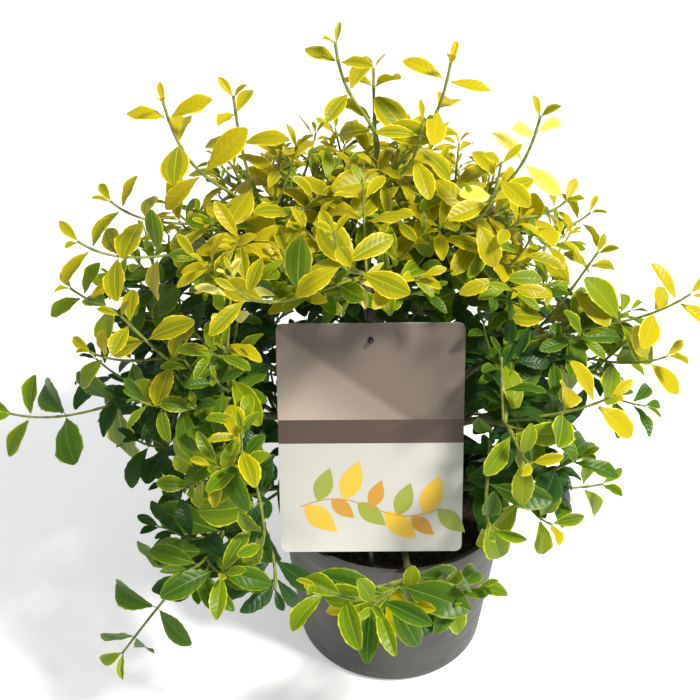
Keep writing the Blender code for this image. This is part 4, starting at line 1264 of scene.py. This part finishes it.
def shaded(point, low, high):
    """A value that rises from its low one in the shade at the foot to its high one at the top."""
    return low + (high - low) * rising(point[2], SHADE_FROM, SHADE_DEPTH)


def within_dome(point):
    out = point - CROWN_HEART
    return np.linalg.norm(out) < dome_reach(unit(out)) * DOME_ALLOWANCE


def try_twig(root, leave, length):
    """A list of one twig that turns up to the light, or an empty one where it has no room."""
    end_way = unit(leave + UP * TWIG_UPTURN)
    tip = root + unit(leave + end_way) * length
    twig = swept(root, leave, tip, end_way, length, TWIG_PULLS, TWIG_STEPS)
    fits = within_dome(tip) and has_room(twig[TWIG_FREE:], TWIG_RADIUS + LEAF_CLEARANCE)
    return [twig] if fits else []


def side_twigs(path, pattern, first_pair):
    """Short twigs from the axils of a shoot's lower pairs, turned up to the light."""
    points, tangents, sides, crosses, _ = pair_places(path, pattern, 1.0)
    turn = first_turn(path)
    found = []
    for k in range(first_pair, len(points)):
        for way in (1, -1):
            angle = turn + k * math.pi / 2
            across = way * (sides[k] * math.cos(angle) + crosses[k] * math.sin(angle))
            chance, length = grow_rng.uniform(), grow_rng.uniform(*TWIG_LENGTHS)
            if chance <= shaded(points[k], *TWIG_CHANCES):
                leave = unit(tangents[k] * math.cos(TWIG_ANGLE) + across * math.sin(TWIG_ANGLE))
                found += try_twig(points[k], leave, length)
    return found


# %% Twigs on the older wood
WOOD_TWIG_LENGTHS = (0.030, 0.048)
WOOD_TWIG_RISE = 0.5
STEM_TWIGS = 3
BOUGH_TWIGS = 5
TRUNK_TWIGS = 9
WOOD_STEPS = 40
UPPER_BOUGHS_FROM = 0.24
UPPER_TRUNK_FROM = 0.18


def wood_twigs(path, count):
    """Short twigs from old wood, each a golden angle round from the last and turned up."""
    tangents, sides, crosses = frames_along(path)
    found = []
    for k in range(count):
        at = round((k + 1) / (count + 1) * (len(path) - 1))
        angle = k * GOLDEN_ANGLE
        across = sides[at] * math.cos(angle) + crosses[at] * math.sin(angle)
        length = grow_rng.uniform(*WOOD_TWIG_LENGTHS)
        found += try_twig(path[at], unit(across + UP * WOOD_TWIG_RISE), length)
    return found


# %% Leaves that cross nothing
KITE_WIDTH = 0.46
KITE_MIDDLE = 0.52
KITE_RIDGE = 0.42
KITE_FOLD = 0.3
KITE_DROOP = 0.16
KITE_THICKNESS = 0.0012
LEAF_NECK = 0.0045
LEAF_TRIES = (
    (0.0, 0.0, 1.0), (0.35, 0.0, 1.0), (-0.35, 0.0, 1.0), (0.0, 0.45, 0.95), (0.0, -0.35, 0.95),
    (0.6, 0.2, 0.88), (-0.6, 0.2, 0.88), (0.0, 0.0, 0.75), (0.4, 0.4, 0.72), (-0.4, 0.4, 0.72),
)
SHARES = np.linspace(0.12, 1.0, 4)
MOST_THINGS = 9000
THIN_SIDES = 3


def kite(root, along, facing, length):
    """Six corners of a folded kite: neck, right, tip, left, and the ridge above and below."""
    side = np.cross(facing, along)
    half = length * KITE_WIDTH / 2
    middle = root + along * length * KITE_MIDDLE + facing * half * KITE_FOLD
    ridge = root + along * length * KITE_RIDGE
    return np.array([
        root + along * LEAF_NECK,
        middle - side * half,
        root + along * length - facing * length * KITE_DROOP,
        middle + side * half,
        ridge + facing * KITE_THICKNESS / 2,
        ridge - facing * KITE_THICKNESS / 2,
    ])


def kite_samples(corners):
    """Points spread over the kite, from its neck and its tip towards the ridge and both sides."""
    neck, right, tip, left, ridge, _ = corners
    sides = np.array([right, (right + ridge) / 2, ridge, (left + ridge) / 2, left])
    toward = [end + SHARES[:, None, None] * (sides - end)[None] for end in (neck, tip)]
    return np.concatenate(toward).reshape(-1, 3)


def tree_of(points, faces):
    return BVHTree.FromPolygons(points.tolist(), faces)


def ball_round(points):
    """The middle of the box round some points, and the distance from there to its corners."""
    low, high = points.min(0), points.max(0)
    return (low + high) / 2, np.linalg.norm(high - low) / 2


class Crown:
    """Everything grown so far, each thing with a middle, a reach and a tree for crossing tests."""

    def __init__(self, room):
        self.middles = np.zeros((room, 3))
        self.reaches = np.zeros(room)
        self.trees = []

    def add(self, points, tree):
        number = len(self.trees)
        self.middles[number], self.reaches[number] = ball_round(points)
        self.trees.append(tree)

    def crosses(self, points, tree):
        count = len(self.trees)
        middle, reach = ball_round(points)
        away = np.linalg.norm(self.middles[:count] - middle, axis=1)
        near = np.nonzero(away < self.reaches[:count] + reach)[0]
        return any(tree.overlap(self.trees[i]) for i in near)


def try_leaf(crown, root, along, facing, length):
    """The leaf as it grows, or turned, lifted or smaller until it has room, or nothing."""
    side = np.cross(facing, along)
    for turn, lift, scale in LEAF_TRIES:
        way = unit(along + side * turn + facing * lift)
        faced = unit(facing - way * (facing @ way))
        corners = kite(root, way, faced, length * scale)
        if not has_room(kite_samples(corners), LEAF_CLEARANCE):
            continue
        tree = tree_of(corners, DIAMOND_FACES)
        if not crown.crosses(corners, tree):
            crown.add(corners, tree)
            return root, way, faced, length * scale
    return None


# %% Grow the crown
LEADER_SCALES = (1.10, 0.88)
SPRAY_SCALES = (1.12, 0.76)
TWIG_SCALE = 0.90
crown = Crown(MOST_THINGS)
twigs, sprays = [], []
for path, leads in shoots:
    pattern = LEADER if leads else ROSETTE
    scales = LEADER_SCALES if leads else SPRAY_SCALES
    sprays.append((path, pattern, shaded(path[-1], *scales)))
    for twig in side_twigs(path, pattern, TWIG_FIRST_PAIR[int(leads)]):
        twigs.append(twig)
        sprays.append((twig, TWIG_ROSETTE, TWIG_SCALE * shaded(twig[-1], *SPRAY_SCALES)))
old_wood = [(stem, STEM_TWIGS) for stem in stems]
old_wood += [(path, BOUGH_TWIGS) for path in boughs.values() if path[-1][2] > UPPER_BOUGHS_FROM]
upper_trunk = trunk_path(WOOD_STEPS)
old_wood.append((upper_trunk[upper_trunk[:, 2] > UPPER_TRUNK_FROM], TRUNK_TWIGS))
for path, count in old_wood:
    for twig in wood_twigs(path, count):
        twigs.append(twig)
        sprays.append((twig, TWIG_ROSETTE, TWIG_SCALE))
for path, _, _ in sprays:
    points, quads, caps = tapered(path, SHOOT_TIP_RADIUS, SHOOT_TIP_RADIUS, THIN_SIDES)
    crown.add(points, tree_of(points, quads.tolist() + caps.tolist()))
placed = []
order = sorted(range(len(sprays)), key=lambda i: -sprays[i][0][-1][2])
for number in order:
    path, pattern, scale = sprays[number]
    for point, along, facing, length, k in leaf_places(path, pattern, scale):
        made = try_leaf(crown, point, along, facing, length)
        if made is not None:
            placed.append((*made, k, number))
print("side twigs:", len(twigs), "leaves:", len(placed))

# %% [markdown]
# ## The shape of a leaf
# A spindle leaf is a leathery oval, widest just past its middle, blunt at the tip and finely
# toothed. It folds along its midrib, its edges curl under, and it bends down towards the tip. All
# leaves are worked out together: one flat pattern of eighty points is bent by each leaf's own
# length, fold, curl and twist. The pale rim and midrib are narrow faces of their own, so they keep
# their plain colour however the plant is used later.

# %% Leaf pattern
LEVELS = np.array([0.0, 0.09, 0.23, 0.39, 0.55, 0.71, 0.87, 1.0])
TOOTH_AT = 0.62
TOOTH_OUT = 1.06
COLUMNS = np.array([-1.0, -0.93, -0.5, -0.001, 0.001, 0.5, 0.93, 1.0])
teeth = LEVELS[:-1] * (1 - TOOTH_AT) + LEVELS[1:] * TOOTH_AT
level_count, column_count, tooth_count = len(LEVELS), len(COLUMNS), len(teeth)
pattern_up = np.concatenate([np.repeat(LEVELS, column_count), teeth, teeth, (0.0, 0.0)])
pattern_across = np.concatenate([
    np.tile(COLUMNS, level_count),
    np.full(tooth_count, -TOOTH_OUT), np.full(tooth_count, TOOTH_OUT), COLUMNS[[3, 4]],
])
is_rib = np.abs(pattern_across) < 0.01
is_foot = np.arange(len(pattern_up)) >= len(pattern_up) - 2
row = np.arange(level_count - 1)[:, None] * column_count
blade_columns = np.arange(1, column_count - 2)[None]
blade = np.stack([
    row + blade_columns, row + column_count + blade_columns,
    row + column_count + blade_columns + 1, row + blade_columns + 1,
], -1)
low = np.arange(level_count - 1) * column_count
high = low + column_count
first_tooth = level_count * column_count
left_teeth = first_tooth + np.arange(tooth_count)
right_teeth = left_teeth + tooth_count
left_rim = np.stack([low, left_teeth, high, high + 1, low + 1], -1)
right_rim = np.stack([low + 6, high + 6, high + 7, right_teeth, low + 7], -1)
stalk_face = np.array([[len(pattern_up) - 2, 3, 4, len(pattern_up) - 1]])
HEART, OUTER, RIM, RIB = range(4)
blade_part = np.tile([OUTER, HEART, RIB, HEART, OUTER], (level_count - 1, 1))
quad_faces = np.vstack([blade.reshape(-1, 4), stalk_face])
quad_parts = np.concatenate([blade_part.ravel(), [RIB]])
rim_faces = np.vstack([left_rim, right_rim])
print("points a leaf:", len(pattern_up), "faces a leaf:", len(quad_faces) + len(rim_faces))

# %% Bend the pattern into leaves
WIDTH_SHARE = (0.185, 0.245)
LEADER_WIDTH = 0.035
SLIM_TOP = 0.035
OUTLINE_LEAN = 1.30
OUTLINE_FULLNESS = 0.66
BLUNT_END = 0.14
RIB_HALF = 0.00028
RIB_RISE = 0.00018
RIB_TAPER = 0.7
RIB_MOST = 0.3
USUAL_LENGTH = 0.030
EDGE_WAVES = 2.1
EDGE_LAG = 1.1
STALK_SHARE = 0.10
FOLDS = (0.24, 0.68)
YOUNG_FOLD = 0.42
CURLS = (0.30, 0.95)
DROOPS = (0.25, 1.45)
LEAST_DROOP = 0.05
TWIST = 0.35
WAVINESS = (0.02, 0.16)
YOUNG_SLIM = 0.02
YOUNG_PAIRS = 3.0
YOUNG_STIFFNESS = 0.45
LEADER_STIFFNESS = 0.5


def leaf_outline(up):
    """Share of the full half width by the way up: sin(pi * up ** lean) ** fullness."""
    return np.maximum(np.sin(math.pi * up**OUTLINE_LEAN) ** OUTLINE_FULLNESS, BLUNT_END)


def leaf_points(root, along, facing, length, shape):
    """World points of all leaves, as an array of leaves by pattern points.

    Half width = share * length * outline. Across the blade the surface is an arc that starts at
    the fold angle and turns down by the curl. Along it, the midrib is an arc of a circle, bent
    down by the droop. Then the blade twists, and its edge waves.
    """
    up, across = pattern_up[None], pattern_across[None]
    fold, curl, droop, twist, wave, phase, width = (shape[:, i : i + 1] for i in range(7))
    half = width * length[:, None] * leaf_outline(up)
    rib_half = np.minimum(RIB_HALF * (1.1 - RIB_TAPER * up), half * RIB_MOST)
    rib_half = rib_half * length[:, None] / USUAL_LENGTH
    reach = np.where(is_rib[None], rib_half / half, np.abs(across))
    arc_radius = half / curl
    sideways = arc_radius * (np.sin(fold) - np.sin(fold - curl * reach)) * np.sign(across)
    upward = arc_radius * (np.cos(fold - curl * reach) - np.cos(fold))
    ripple_at = 2 * math.pi * EDGE_WAVES * up + phase + np.sign(across) * EDGE_LAG
    upward = upward + half * wave * np.sin(ripple_at) * reach**2 + RIB_RISE * is_rib[None]
    turn = twist * up
    flat = sideways * np.cos(turn) - upward * np.sin(turn)
    raised = sideways * np.sin(turn) + upward * np.cos(turn)
    bend = droop * up
    stalk = STALK_SHARE * length[:, None]
    blade_length = length[:, None] - stalk
    forward = blade_length * np.sin(bend) / droop + raised * np.sin(bend) + stalk
    forward = np.where(is_foot[None], 0.0, forward)
    lifted = raised * np.cos(bend) - blade_length * (1 - np.cos(bend)) / droop
    side = np.cross(facing, along)
    local = np.stack([forward, flat, lifted], -1)
    axes = np.stack([along, side, facing], 1)
    return root[:, None] + local @ axes


def leaf_uv(shape):
    """Each leaf's own flat map: up the leaf, and across it as a share of its length."""
    across = shape[:, 6:7] * leaf_outline(pattern_up)[None] * pattern_across[None]
    return np.stack([np.broadcast_to(pattern_up, across.shape), across], -1)


shape_rng = np.random.default_rng(SEED + 2)
roots, ways, faces_up, lengths = (np.array([leaf[i] for leaf in placed]) for i in range(4))
pair_numbers = np.array([leaf[4] for leaf in placed])
spray_numbers = np.array([leaf[5] for leaf in placed])
count = len(placed)
young = np.clip(1.0 - pair_numbers / YOUNG_PAIRS, 0, 1)
leads_spray = np.array([pattern is LEADER for _, pattern, _ in sprays])
on_leader = leads_spray[spray_numbers].astype(float)
in_light = rising(roots[:, 2], SHADE_FROM, SHADE_DEPTH)
pliancy = (1 - YOUNG_STIFFNESS * young) * (1 - LEADER_STIFFNESS * on_leader)
shapes = np.column_stack([
    shape_rng.uniform(*FOLDS, count) + young * YOUNG_FOLD,
    shape_rng.uniform(*CURLS, count),
    shape_rng.uniform(*DROOPS, count) * pliancy + LEAST_DROOP,
    shape_rng.uniform(-TWIST, TWIST, count),
    shape_rng.uniform(*WAVINESS, count),
    shape_rng.uniform(0, 2 * math.pi, count),
    shape_rng.uniform(*WIDTH_SHARE, count) + on_leader * LEADER_WIDTH - young * YOUNG_SLIM
    - in_light * SLIM_TOP,
])
all_points = leaf_points(roots, ways, faces_up, lengths, shapes)
print("leaf points:", all_points.shape)

# %% [markdown]
# ## Colours by spray
# On the real shrub the sun decides: sprays at the top turn gold, those at the sides lime, and the
# shaded ones below and inside stay green or almost blue. On top of that, shade and light are
# painted
# into the colours: sprays on the left, which lies in shade, are made darker, and those on the
# right, where the light comes from, brighter. The leaders that stand out of the left's shade are
# brighter than their neighbours. Within a spray the newest pairs are the brightest. A few sprays
# are bleached to cream. Each spray gets a brightness from its place, and each leaf goes to the
# piece of its colour, where it takes one of three near tints.

# %% Deal the colours out
CLASSES = ("cream", "gold", "lime", "green", "deep")
CLASS_LIMITS = (0.74, 0.40, 0.15)
PAIR_GAIN = np.array([0.14, 0.12, 0.04, -0.06, -0.15, -0.22, -0.28, -0.32])
HEIGHT_GAIN = 0.95
LOWEST_GOLD = 0.186
GOLD_RISE = 0.17
OUTER_GAIN = 1.1
OUTER_FROM = 0.86
OUTER_MOST = 1.0
# Painted light and shade: per metre to the right, sprays are made this much brighter, and darker to
# the left.
SIDE_LIGHT_GAIN = 0.35
FRONT_GAIN = 6.0
FRONT_FROM = 0.065
FRONT_TOP = 0.20
FRONT_DEPTH = 0.06
FRONT_LINE = -0.105
LEAF_VARIETY = 0.13
SPRAY_SPREAD = 0.10
CREAM_AT = np.array([(-0.084, -0.065, 0.295), (-0.031, -0.066, 0.320), (0.072, -0.015, 0.338)])
CREAM_SPRAYS = 1
CREAM_PAIRS = (1, 3)
# Painted shade on the left side: how much darker its sprays are made, where it starts and fades,
# and how little the leaders take.
LEFT_SHADE = 0.60
LEFT_FROM = -0.02
LEFT_WIDTH = 0.06
LEFT_DEPTH = 0.03
LEADER_SHADE = 0.2
LEADER_LEAST = 0.06
SHADE_TOP = 0.265
SHADE_FADE = 0.05
ODD_TINTS = 0.3
LEADER_GAIN = np.array([0.40, 0.30, 0.24, 0.22, 0.18, 0.12, 0.06, 0.0])
colour_rng = np.random.default_rng(SEED + 3)
spray_tips = np.array([path[-1] for path, _, _ in sprays])
outs = spray_tips - CROWN_HEART
outward = np.linalg.norm(outs, axis=1) / np.array([dome_reach(way) for way in unit(outs)])
brightness = HEIGHT_GAIN * (spray_tips[:, 2] - LOWEST_GOLD) / GOLD_RISE
brightness += OUTER_GAIN * (np.minimum(outward, OUTER_MOST) - OUTER_FROM)
in_front = np.clip(-spray_tips[:, 1] - FRONT_FROM, 0, FRONT_DEPTH)
in_front *= spray_tips[:, 2] < FRONT_TOP
# Painted light and shade: sprays to the right are made brighter and those to the left darker.
brightness += SIDE_LIGHT_GAIN * spray_tips[:, 0] + FRONT_GAIN * in_front
brightness += colour_rng.normal(0, SPRAY_SPREAD, len(sprays))
# Painted shade: sprays on the left, away from the front and below the top, are made darker; leaders
# take a fifth of it.
left_shade_share = rising(-spray_tips[:, 0], -LEFT_FROM, LEFT_WIDTH)
left_shade_share *= rising(spray_tips[:, 1], FRONT_LINE, LEFT_DEPTH)
left_shade_share *= np.where(leads_spray, LEADER_SHADE, 1.0)
brightness -= LEFT_SHADE * left_shade_share * rising(-spray_tips[:, 2], -SHADE_TOP, SHADE_FADE)
brightness = np.where(leads_spray, np.maximum(brightness, LEADER_LEAST), brightness)
from_cream = np.linalg.norm(spray_tips[:, None] - CREAM_AT[None], axis=2)
is_cream = np.zeros(len(sprays), bool)
is_cream[np.argsort(from_cream, axis=0)[:CREAM_SPRAYS].ravel()] = True
leaf_light = brightness[spray_numbers] + PAIR_GAIN[pair_numbers]
leaf_light += on_leader * LEADER_GAIN[pair_numbers]
leaf_light += colour_rng.normal(0, LEAF_VARIETY, count)
leaf_class = 1 + (leaf_light[:, None] < np.array(CLASS_LIMITS)[None]).sum(1)
in_pairs = (pair_numbers >= CREAM_PAIRS[0]) & (pair_numbers <= CREAM_PAIRS[1])
leaf_class[is_cream[spray_numbers] & in_pairs] = 0
leaf_tint = colour_rng.integers(0, 3, len(sprays))[spray_numbers]
leaf_tint = (leaf_tint + (colour_rng.uniform(size=count) < ODD_TINTS)) % 3
print({name: int((leaf_class == i).sum()) for i, name in enumerate(CLASSES)})

# %% [markdown]
# ## Leaf finishes
# A spindle leaf shines: its skin is waxy and smooth, and light that strikes the back glows through.
# So each colour is a glossy shader mixed with a share of translucent light. The side veins only
# dent the surface, so they are a bump: slanting lines drawn from the leaf's own map.

# %% Leaf materials
GLOW = 0.30
GLOW_TINT = (0.95, 1.15, 0.6)
LEAF_GLOSS = 0.22
BLADE_ROUGHNESS = 0.36
RIM_ROUGHNESS = 0.42
OUTER_SHARE = 0.6
VEIN_PAIRS = 7.0
VEIN_SOFTNESS = 0.6
VEIN_BUMP = (0.24, 0.0006)
COLOURS = {
    "cream": (((0.68, 0.57, 0.09), (0.72, 0.64, 0.15), (0.62, 0.55, 0.06)),
              (0.78, 0.71, 0.22), (0.84, 0.79, 0.34), (0.74, 0.67, 0.18)),
    "gold": (((0.335, 0.300, 0.003), (0.440, 0.352, 0.003), (0.225, 0.240, 0.003)),
             (0.455, 0.368, 0.004), (0.74, 0.60, 0.020), (0.50, 0.44, 0.02)),
    "lime": (((0.145, 0.215, 0.003), (0.205, 0.255, 0.003), (0.098, 0.168, 0.004)),
             (0.190, 0.250, 0.004), (0.50, 0.51, 0.018), (0.29, 0.36, 0.03)),
    "green": (((0.052, 0.118, 0.006), (0.072, 0.142, 0.005), (0.038, 0.095, 0.007)),
              (0.078, 0.150, 0.006), (0.190, 0.250, 0.012), (0.140, 0.225, 0.03)),
    "deep": (((0.019, 0.062, 0.010), (0.027, 0.074, 0.009), (0.014, 0.050, 0.012)),
             (0.026, 0.074, 0.010), (0.046, 0.100, 0.014), (0.060, 0.120, 0.028)),
}


def leaf_finish(name, colour, veined):
    """A waxy shader mixed with a share of light that comes through the blade."""
    made = finish(name, colour, BLADE_ROUGHNESS if veined else RIM_ROUGHNESS)
    shader_of(made).inputs["Specular IOR Level"].default_value = LEAF_GLOSS
    through_blade = add_node(made, "ShaderNodeBsdfTranslucent")
    glow = [min(1.0, part * tint) for part, tint in zip(colour, GLOW_TINT)]
    through_blade.inputs["Color"].default_value = (*glow, 1.0)
    both = add_node(made, "ShaderNodeMixShader")
    both.inputs[0].default_value = GLOW
    feed(made, shader_of(made).outputs[0], both.inputs[1])
    feed(made, through_blade.outputs[0], both.inputs[2])
    feed(made, both.outputs[0], made.node_tree.nodes["Material Output"].inputs[0])
    if veined:
        bumped(made, vein_height(made), *VEIN_BUMP)
    return made


def vein_height(material):
    """Quilted blade: the size of a sine of (up - across), repeated for each pair of veins."""
    up, across = surface_map(material)
    slant = computed(material, "SUBTRACT", up, computed(material, "ABSOLUTE", across))
    turns = computed(material, "MULTIPLY", slant, VEIN_PAIRS * math.pi)
    quilt = computed(material, "ABSOLUTE", computed(material, "SINE", turns))
    return computed(material, "POWER", quilt, VEIN_SOFTNESS)


def class_finishes(name):
    """Slots of one colour class: three hearts, three outers, rim and rib."""
    hearts, outer, rim, rib = COLOURS[name]
    made = [leaf_finish(f"{name}_heart_{i}", hearts[i], True) for i in range(3)]
    for i in range(3):
        blend = zip(outer, hearts[i])
        tinted = tuple(OUTER_SHARE * a + (1 - OUTER_SHARE) * b for a, b in blend)
        made.append(leaf_finish(f"{name}_outer_{i}", tinted, True))
    made.append(leaf_finish(f"{name}_rim", rim, False))
    made.append(leaf_finish(f"{name}_rib", rib, False))
    return made


# %% Leaf pieces
MOST_LEAVES = 1000
PART_SLOTS = np.array([[0, 3, 6, 7], [1, 4, 6, 7], [2, 5, 6, 7]])
foliage = [f"foliage_{number:02d}" for number in range(1, 17)]
stands_for = {"gold": foliage[12:], "lime": foliage[6:12], "green": foliage[:6]}
for index, name in enumerate(CLASSES):
    own = np.nonzero(leaf_class == index)[0]
    finishes = class_finishes(name)
    blocks = np.array_split(own, max(1, math.ceil(len(own) / MOST_LEAVES)))
    for part, chosen in enumerate(blocks):
        offsets = np.arange(len(chosen))[:, None, None] * len(pattern_up)
        quads = (quad_faces[None] + offsets).reshape(-1, 4)
        rims = (rim_faces[None] + offsets).reshape(-1, 5)
        tints = PART_SLOTS[leaf_tint[chosen]]
        rim_slots = np.repeat(tints[:, RIM], len(rim_faces))
        slots = np.concatenate([tints[:, quad_parts].ravel(), rim_slots])
        points = all_points[chosen].reshape(-1, 3)
        uv = leaf_uv(shapes[chosen]).reshape(-1, 2)
        piece = make_piece(f"leaves_{name}_{part + 1}", points, [quads, rims], finishes, slots, uv)
        settle(piece, "foliage", *(stands_for.get(name, []) if part == 0 else []))

# %% [markdown]
# ## Green shoots
# Young spindle shoots are green and faintly four-angled, a little swollen where the leaves sit.
# The tubes follow the same paths that the leaves were placed on, so each leaf stalk starts inside
# its shoot. The thicker stems inside the crown are older and duller.

# %% Shoot and twig pieces
SHOOT_SIDES = 8
SHOOT_RINGS = 40
TWIG_SIDES = 6
ANGLED = 0.07
NODE_RISE = 0.30
NODE_LENGTH = 0.0016
LEADER_SLIM = 0.9
STEM_SIDES = 10
STEM_RINGS = 30
STEM_SEED = 60
STEM_RELIEF = (0.04, 0.015, 0.12)


def shoot_relief(path, sides, pattern):
    """Radius factors: 1 + a four-sided wave round the shoot + a swelling at each pair."""
    beside = run_along(path)[:, None] - pair_places(path, pattern, 1.0)[-1][None]
    swell = np.exp(-((beside / NODE_LENGTH) ** 2)).sum(1)
    angles = circle_angles(sides)
    return (1 + NODE_RISE * np.minimum(swell, 1.0))[:, None] + ANGLED * np.cos(4 * angles)[None]


shoot_green = finish("shoot_green", (0.150, 0.180, 0.020), 0.6)
old_stem = finish("old_stem", (0.085, 0.088, 0.045), 0.6)
shoot_tubes = []
for path, leads in shoots:
    line = through(path, SHOOT_RINGS)
    radii = np.linspace(SHOOT_RADIUS, SHOOT_TIP_RADIUS, len(line))
    radii *= LEADER_SLIM if leads else 1.0
    relief = shoot_relief(line, SHOOT_SIDES, LEADER if leads else ROSETTE)
    shoot_tubes.append(tube(line, radii, SHOOT_SIDES, relief))
tubes_piece("shoots", shoot_tubes, shoot_green, "foliage")
twig_tubes = [tapered(twig, TWIG_RADIUS, TWIG_TIP_RADIUS, TWIG_SIDES) for twig in twigs]
tubes_piece("side_twigs", twig_tubes, shoot_green, "foliage")
stem_tubes = []
for i, stem in enumerate(stems):
    line = rooted(through(stem, STEM_RINGS))
    relief = bark_relief(line, STEM_SIDES, STEM_SEED + i, *STEM_RELIEF)
    stem_tubes.append(tapered(line, STEM_RADIUS, SHOOT_RADIUS, STEM_SIDES, relief))
tubes_piece("inner_stems", stem_tubes, old_stem, "foliage")
streaks = object_noise(shoot_green, 300.0, 3.0)
green_stops = [(0.35, (0.085, 0.115, 0.012)), (0.65, (0.210, 0.230, 0.022))]
coloured(shoot_green, ramp(shoot_green, streaks, green_stops))
dress_bark(old_stem, (0.040, 0.048, 0.014), (0.080, 0.098, 0.024), (0.150, 0.160, 0.045), 500.0)

# %% [markdown]
# ## Floor, light and camera
# The plant stands on a plain pale floor under soft daylight: one broad lamp high on the right, a
# fainter one on the left and a pale sky. The camera looks down at it by about 36 degrees.

# %% Floor
FLOOR_SIZE = 8.0
FLOOR_GLOW = 0.32
paper = finish("paper", (0.90, 0.90, 0.90), 0.9)
shader_of(paper).inputs["Emission Color"].default_value = (1.0, 1.0, 1.0, 1.0)
shader_of(paper).inputs["Emission Strength"].default_value = FLOOR_GLOW
floor_points = np.column_stack([SQUARE * FLOOR_SIZE, np.zeros(4)])
floor_piece = make_piece("floor", floor_points, [np.array([[0, 1, 2, 3]])], [paper])

# %% Lamps and sky
SKY_STRENGTH = 0.55
PLANT_MIDDLE = (0, 0, 0.2)


def lamp(name, place, aim, size, power, colour):
    """A square area lamp that faces a point."""
    data = bpy.data.lights.new(name, "AREA")
    data.size = size
    data.energy = power
    data.color = colour
    back = unit(np.array(place, float) - np.array(aim, float))
    side = unit(np.cross(UP, back))
    axes = np.eye(4)
    axes[:3, :3] = np.column_stack([side, np.cross(back, side), back])
    axes[:3, 3] = place
    new_object(name, data).matrix_world = Matrix(axes.tolist())


lamp("sun", (0.70, -0.55, 1.40), PLANT_MIDDLE, 0.22, 38.0, (1.0, 0.98, 0.94))
lamp("left_fill", (-1.3, -0.9, 0.9), PLANT_MIDDLE, 1.2, 2.5, (0.97, 0.99, 1.0))
sky = bpy.data.worlds.new("sky")
sky.use_nodes = True
sky.node_tree.nodes["Background"].inputs["Color"].default_value = (0.98, 0.99, 1.0, 1.0)
sky.node_tree.nodes["Background"].inputs["Strength"].default_value = SKY_STRENGTH
bpy.context.scene.world = sky
bpy.context.scene.view_settings.view_transform = "Standard"

# %% Camera
CAMERA_PLACE = (-0.026, -0.588, 0.637)
LOOK_DOWN = 35.9
LENS = 66.9
camera_data = bpy.data.cameras.new("camera")
camera_data.lens = LENS
camera_data.sensor_width = 36.0
camera_data.clip_start = 0.05
camera = new_object("camera", camera_data)
camera.location = CAMERA_PLACE
camera.rotation_euler = (math.radians(90.0 - LOOK_DOWN), 0.0, 0.0)
bpy.context.scene.camera = camera
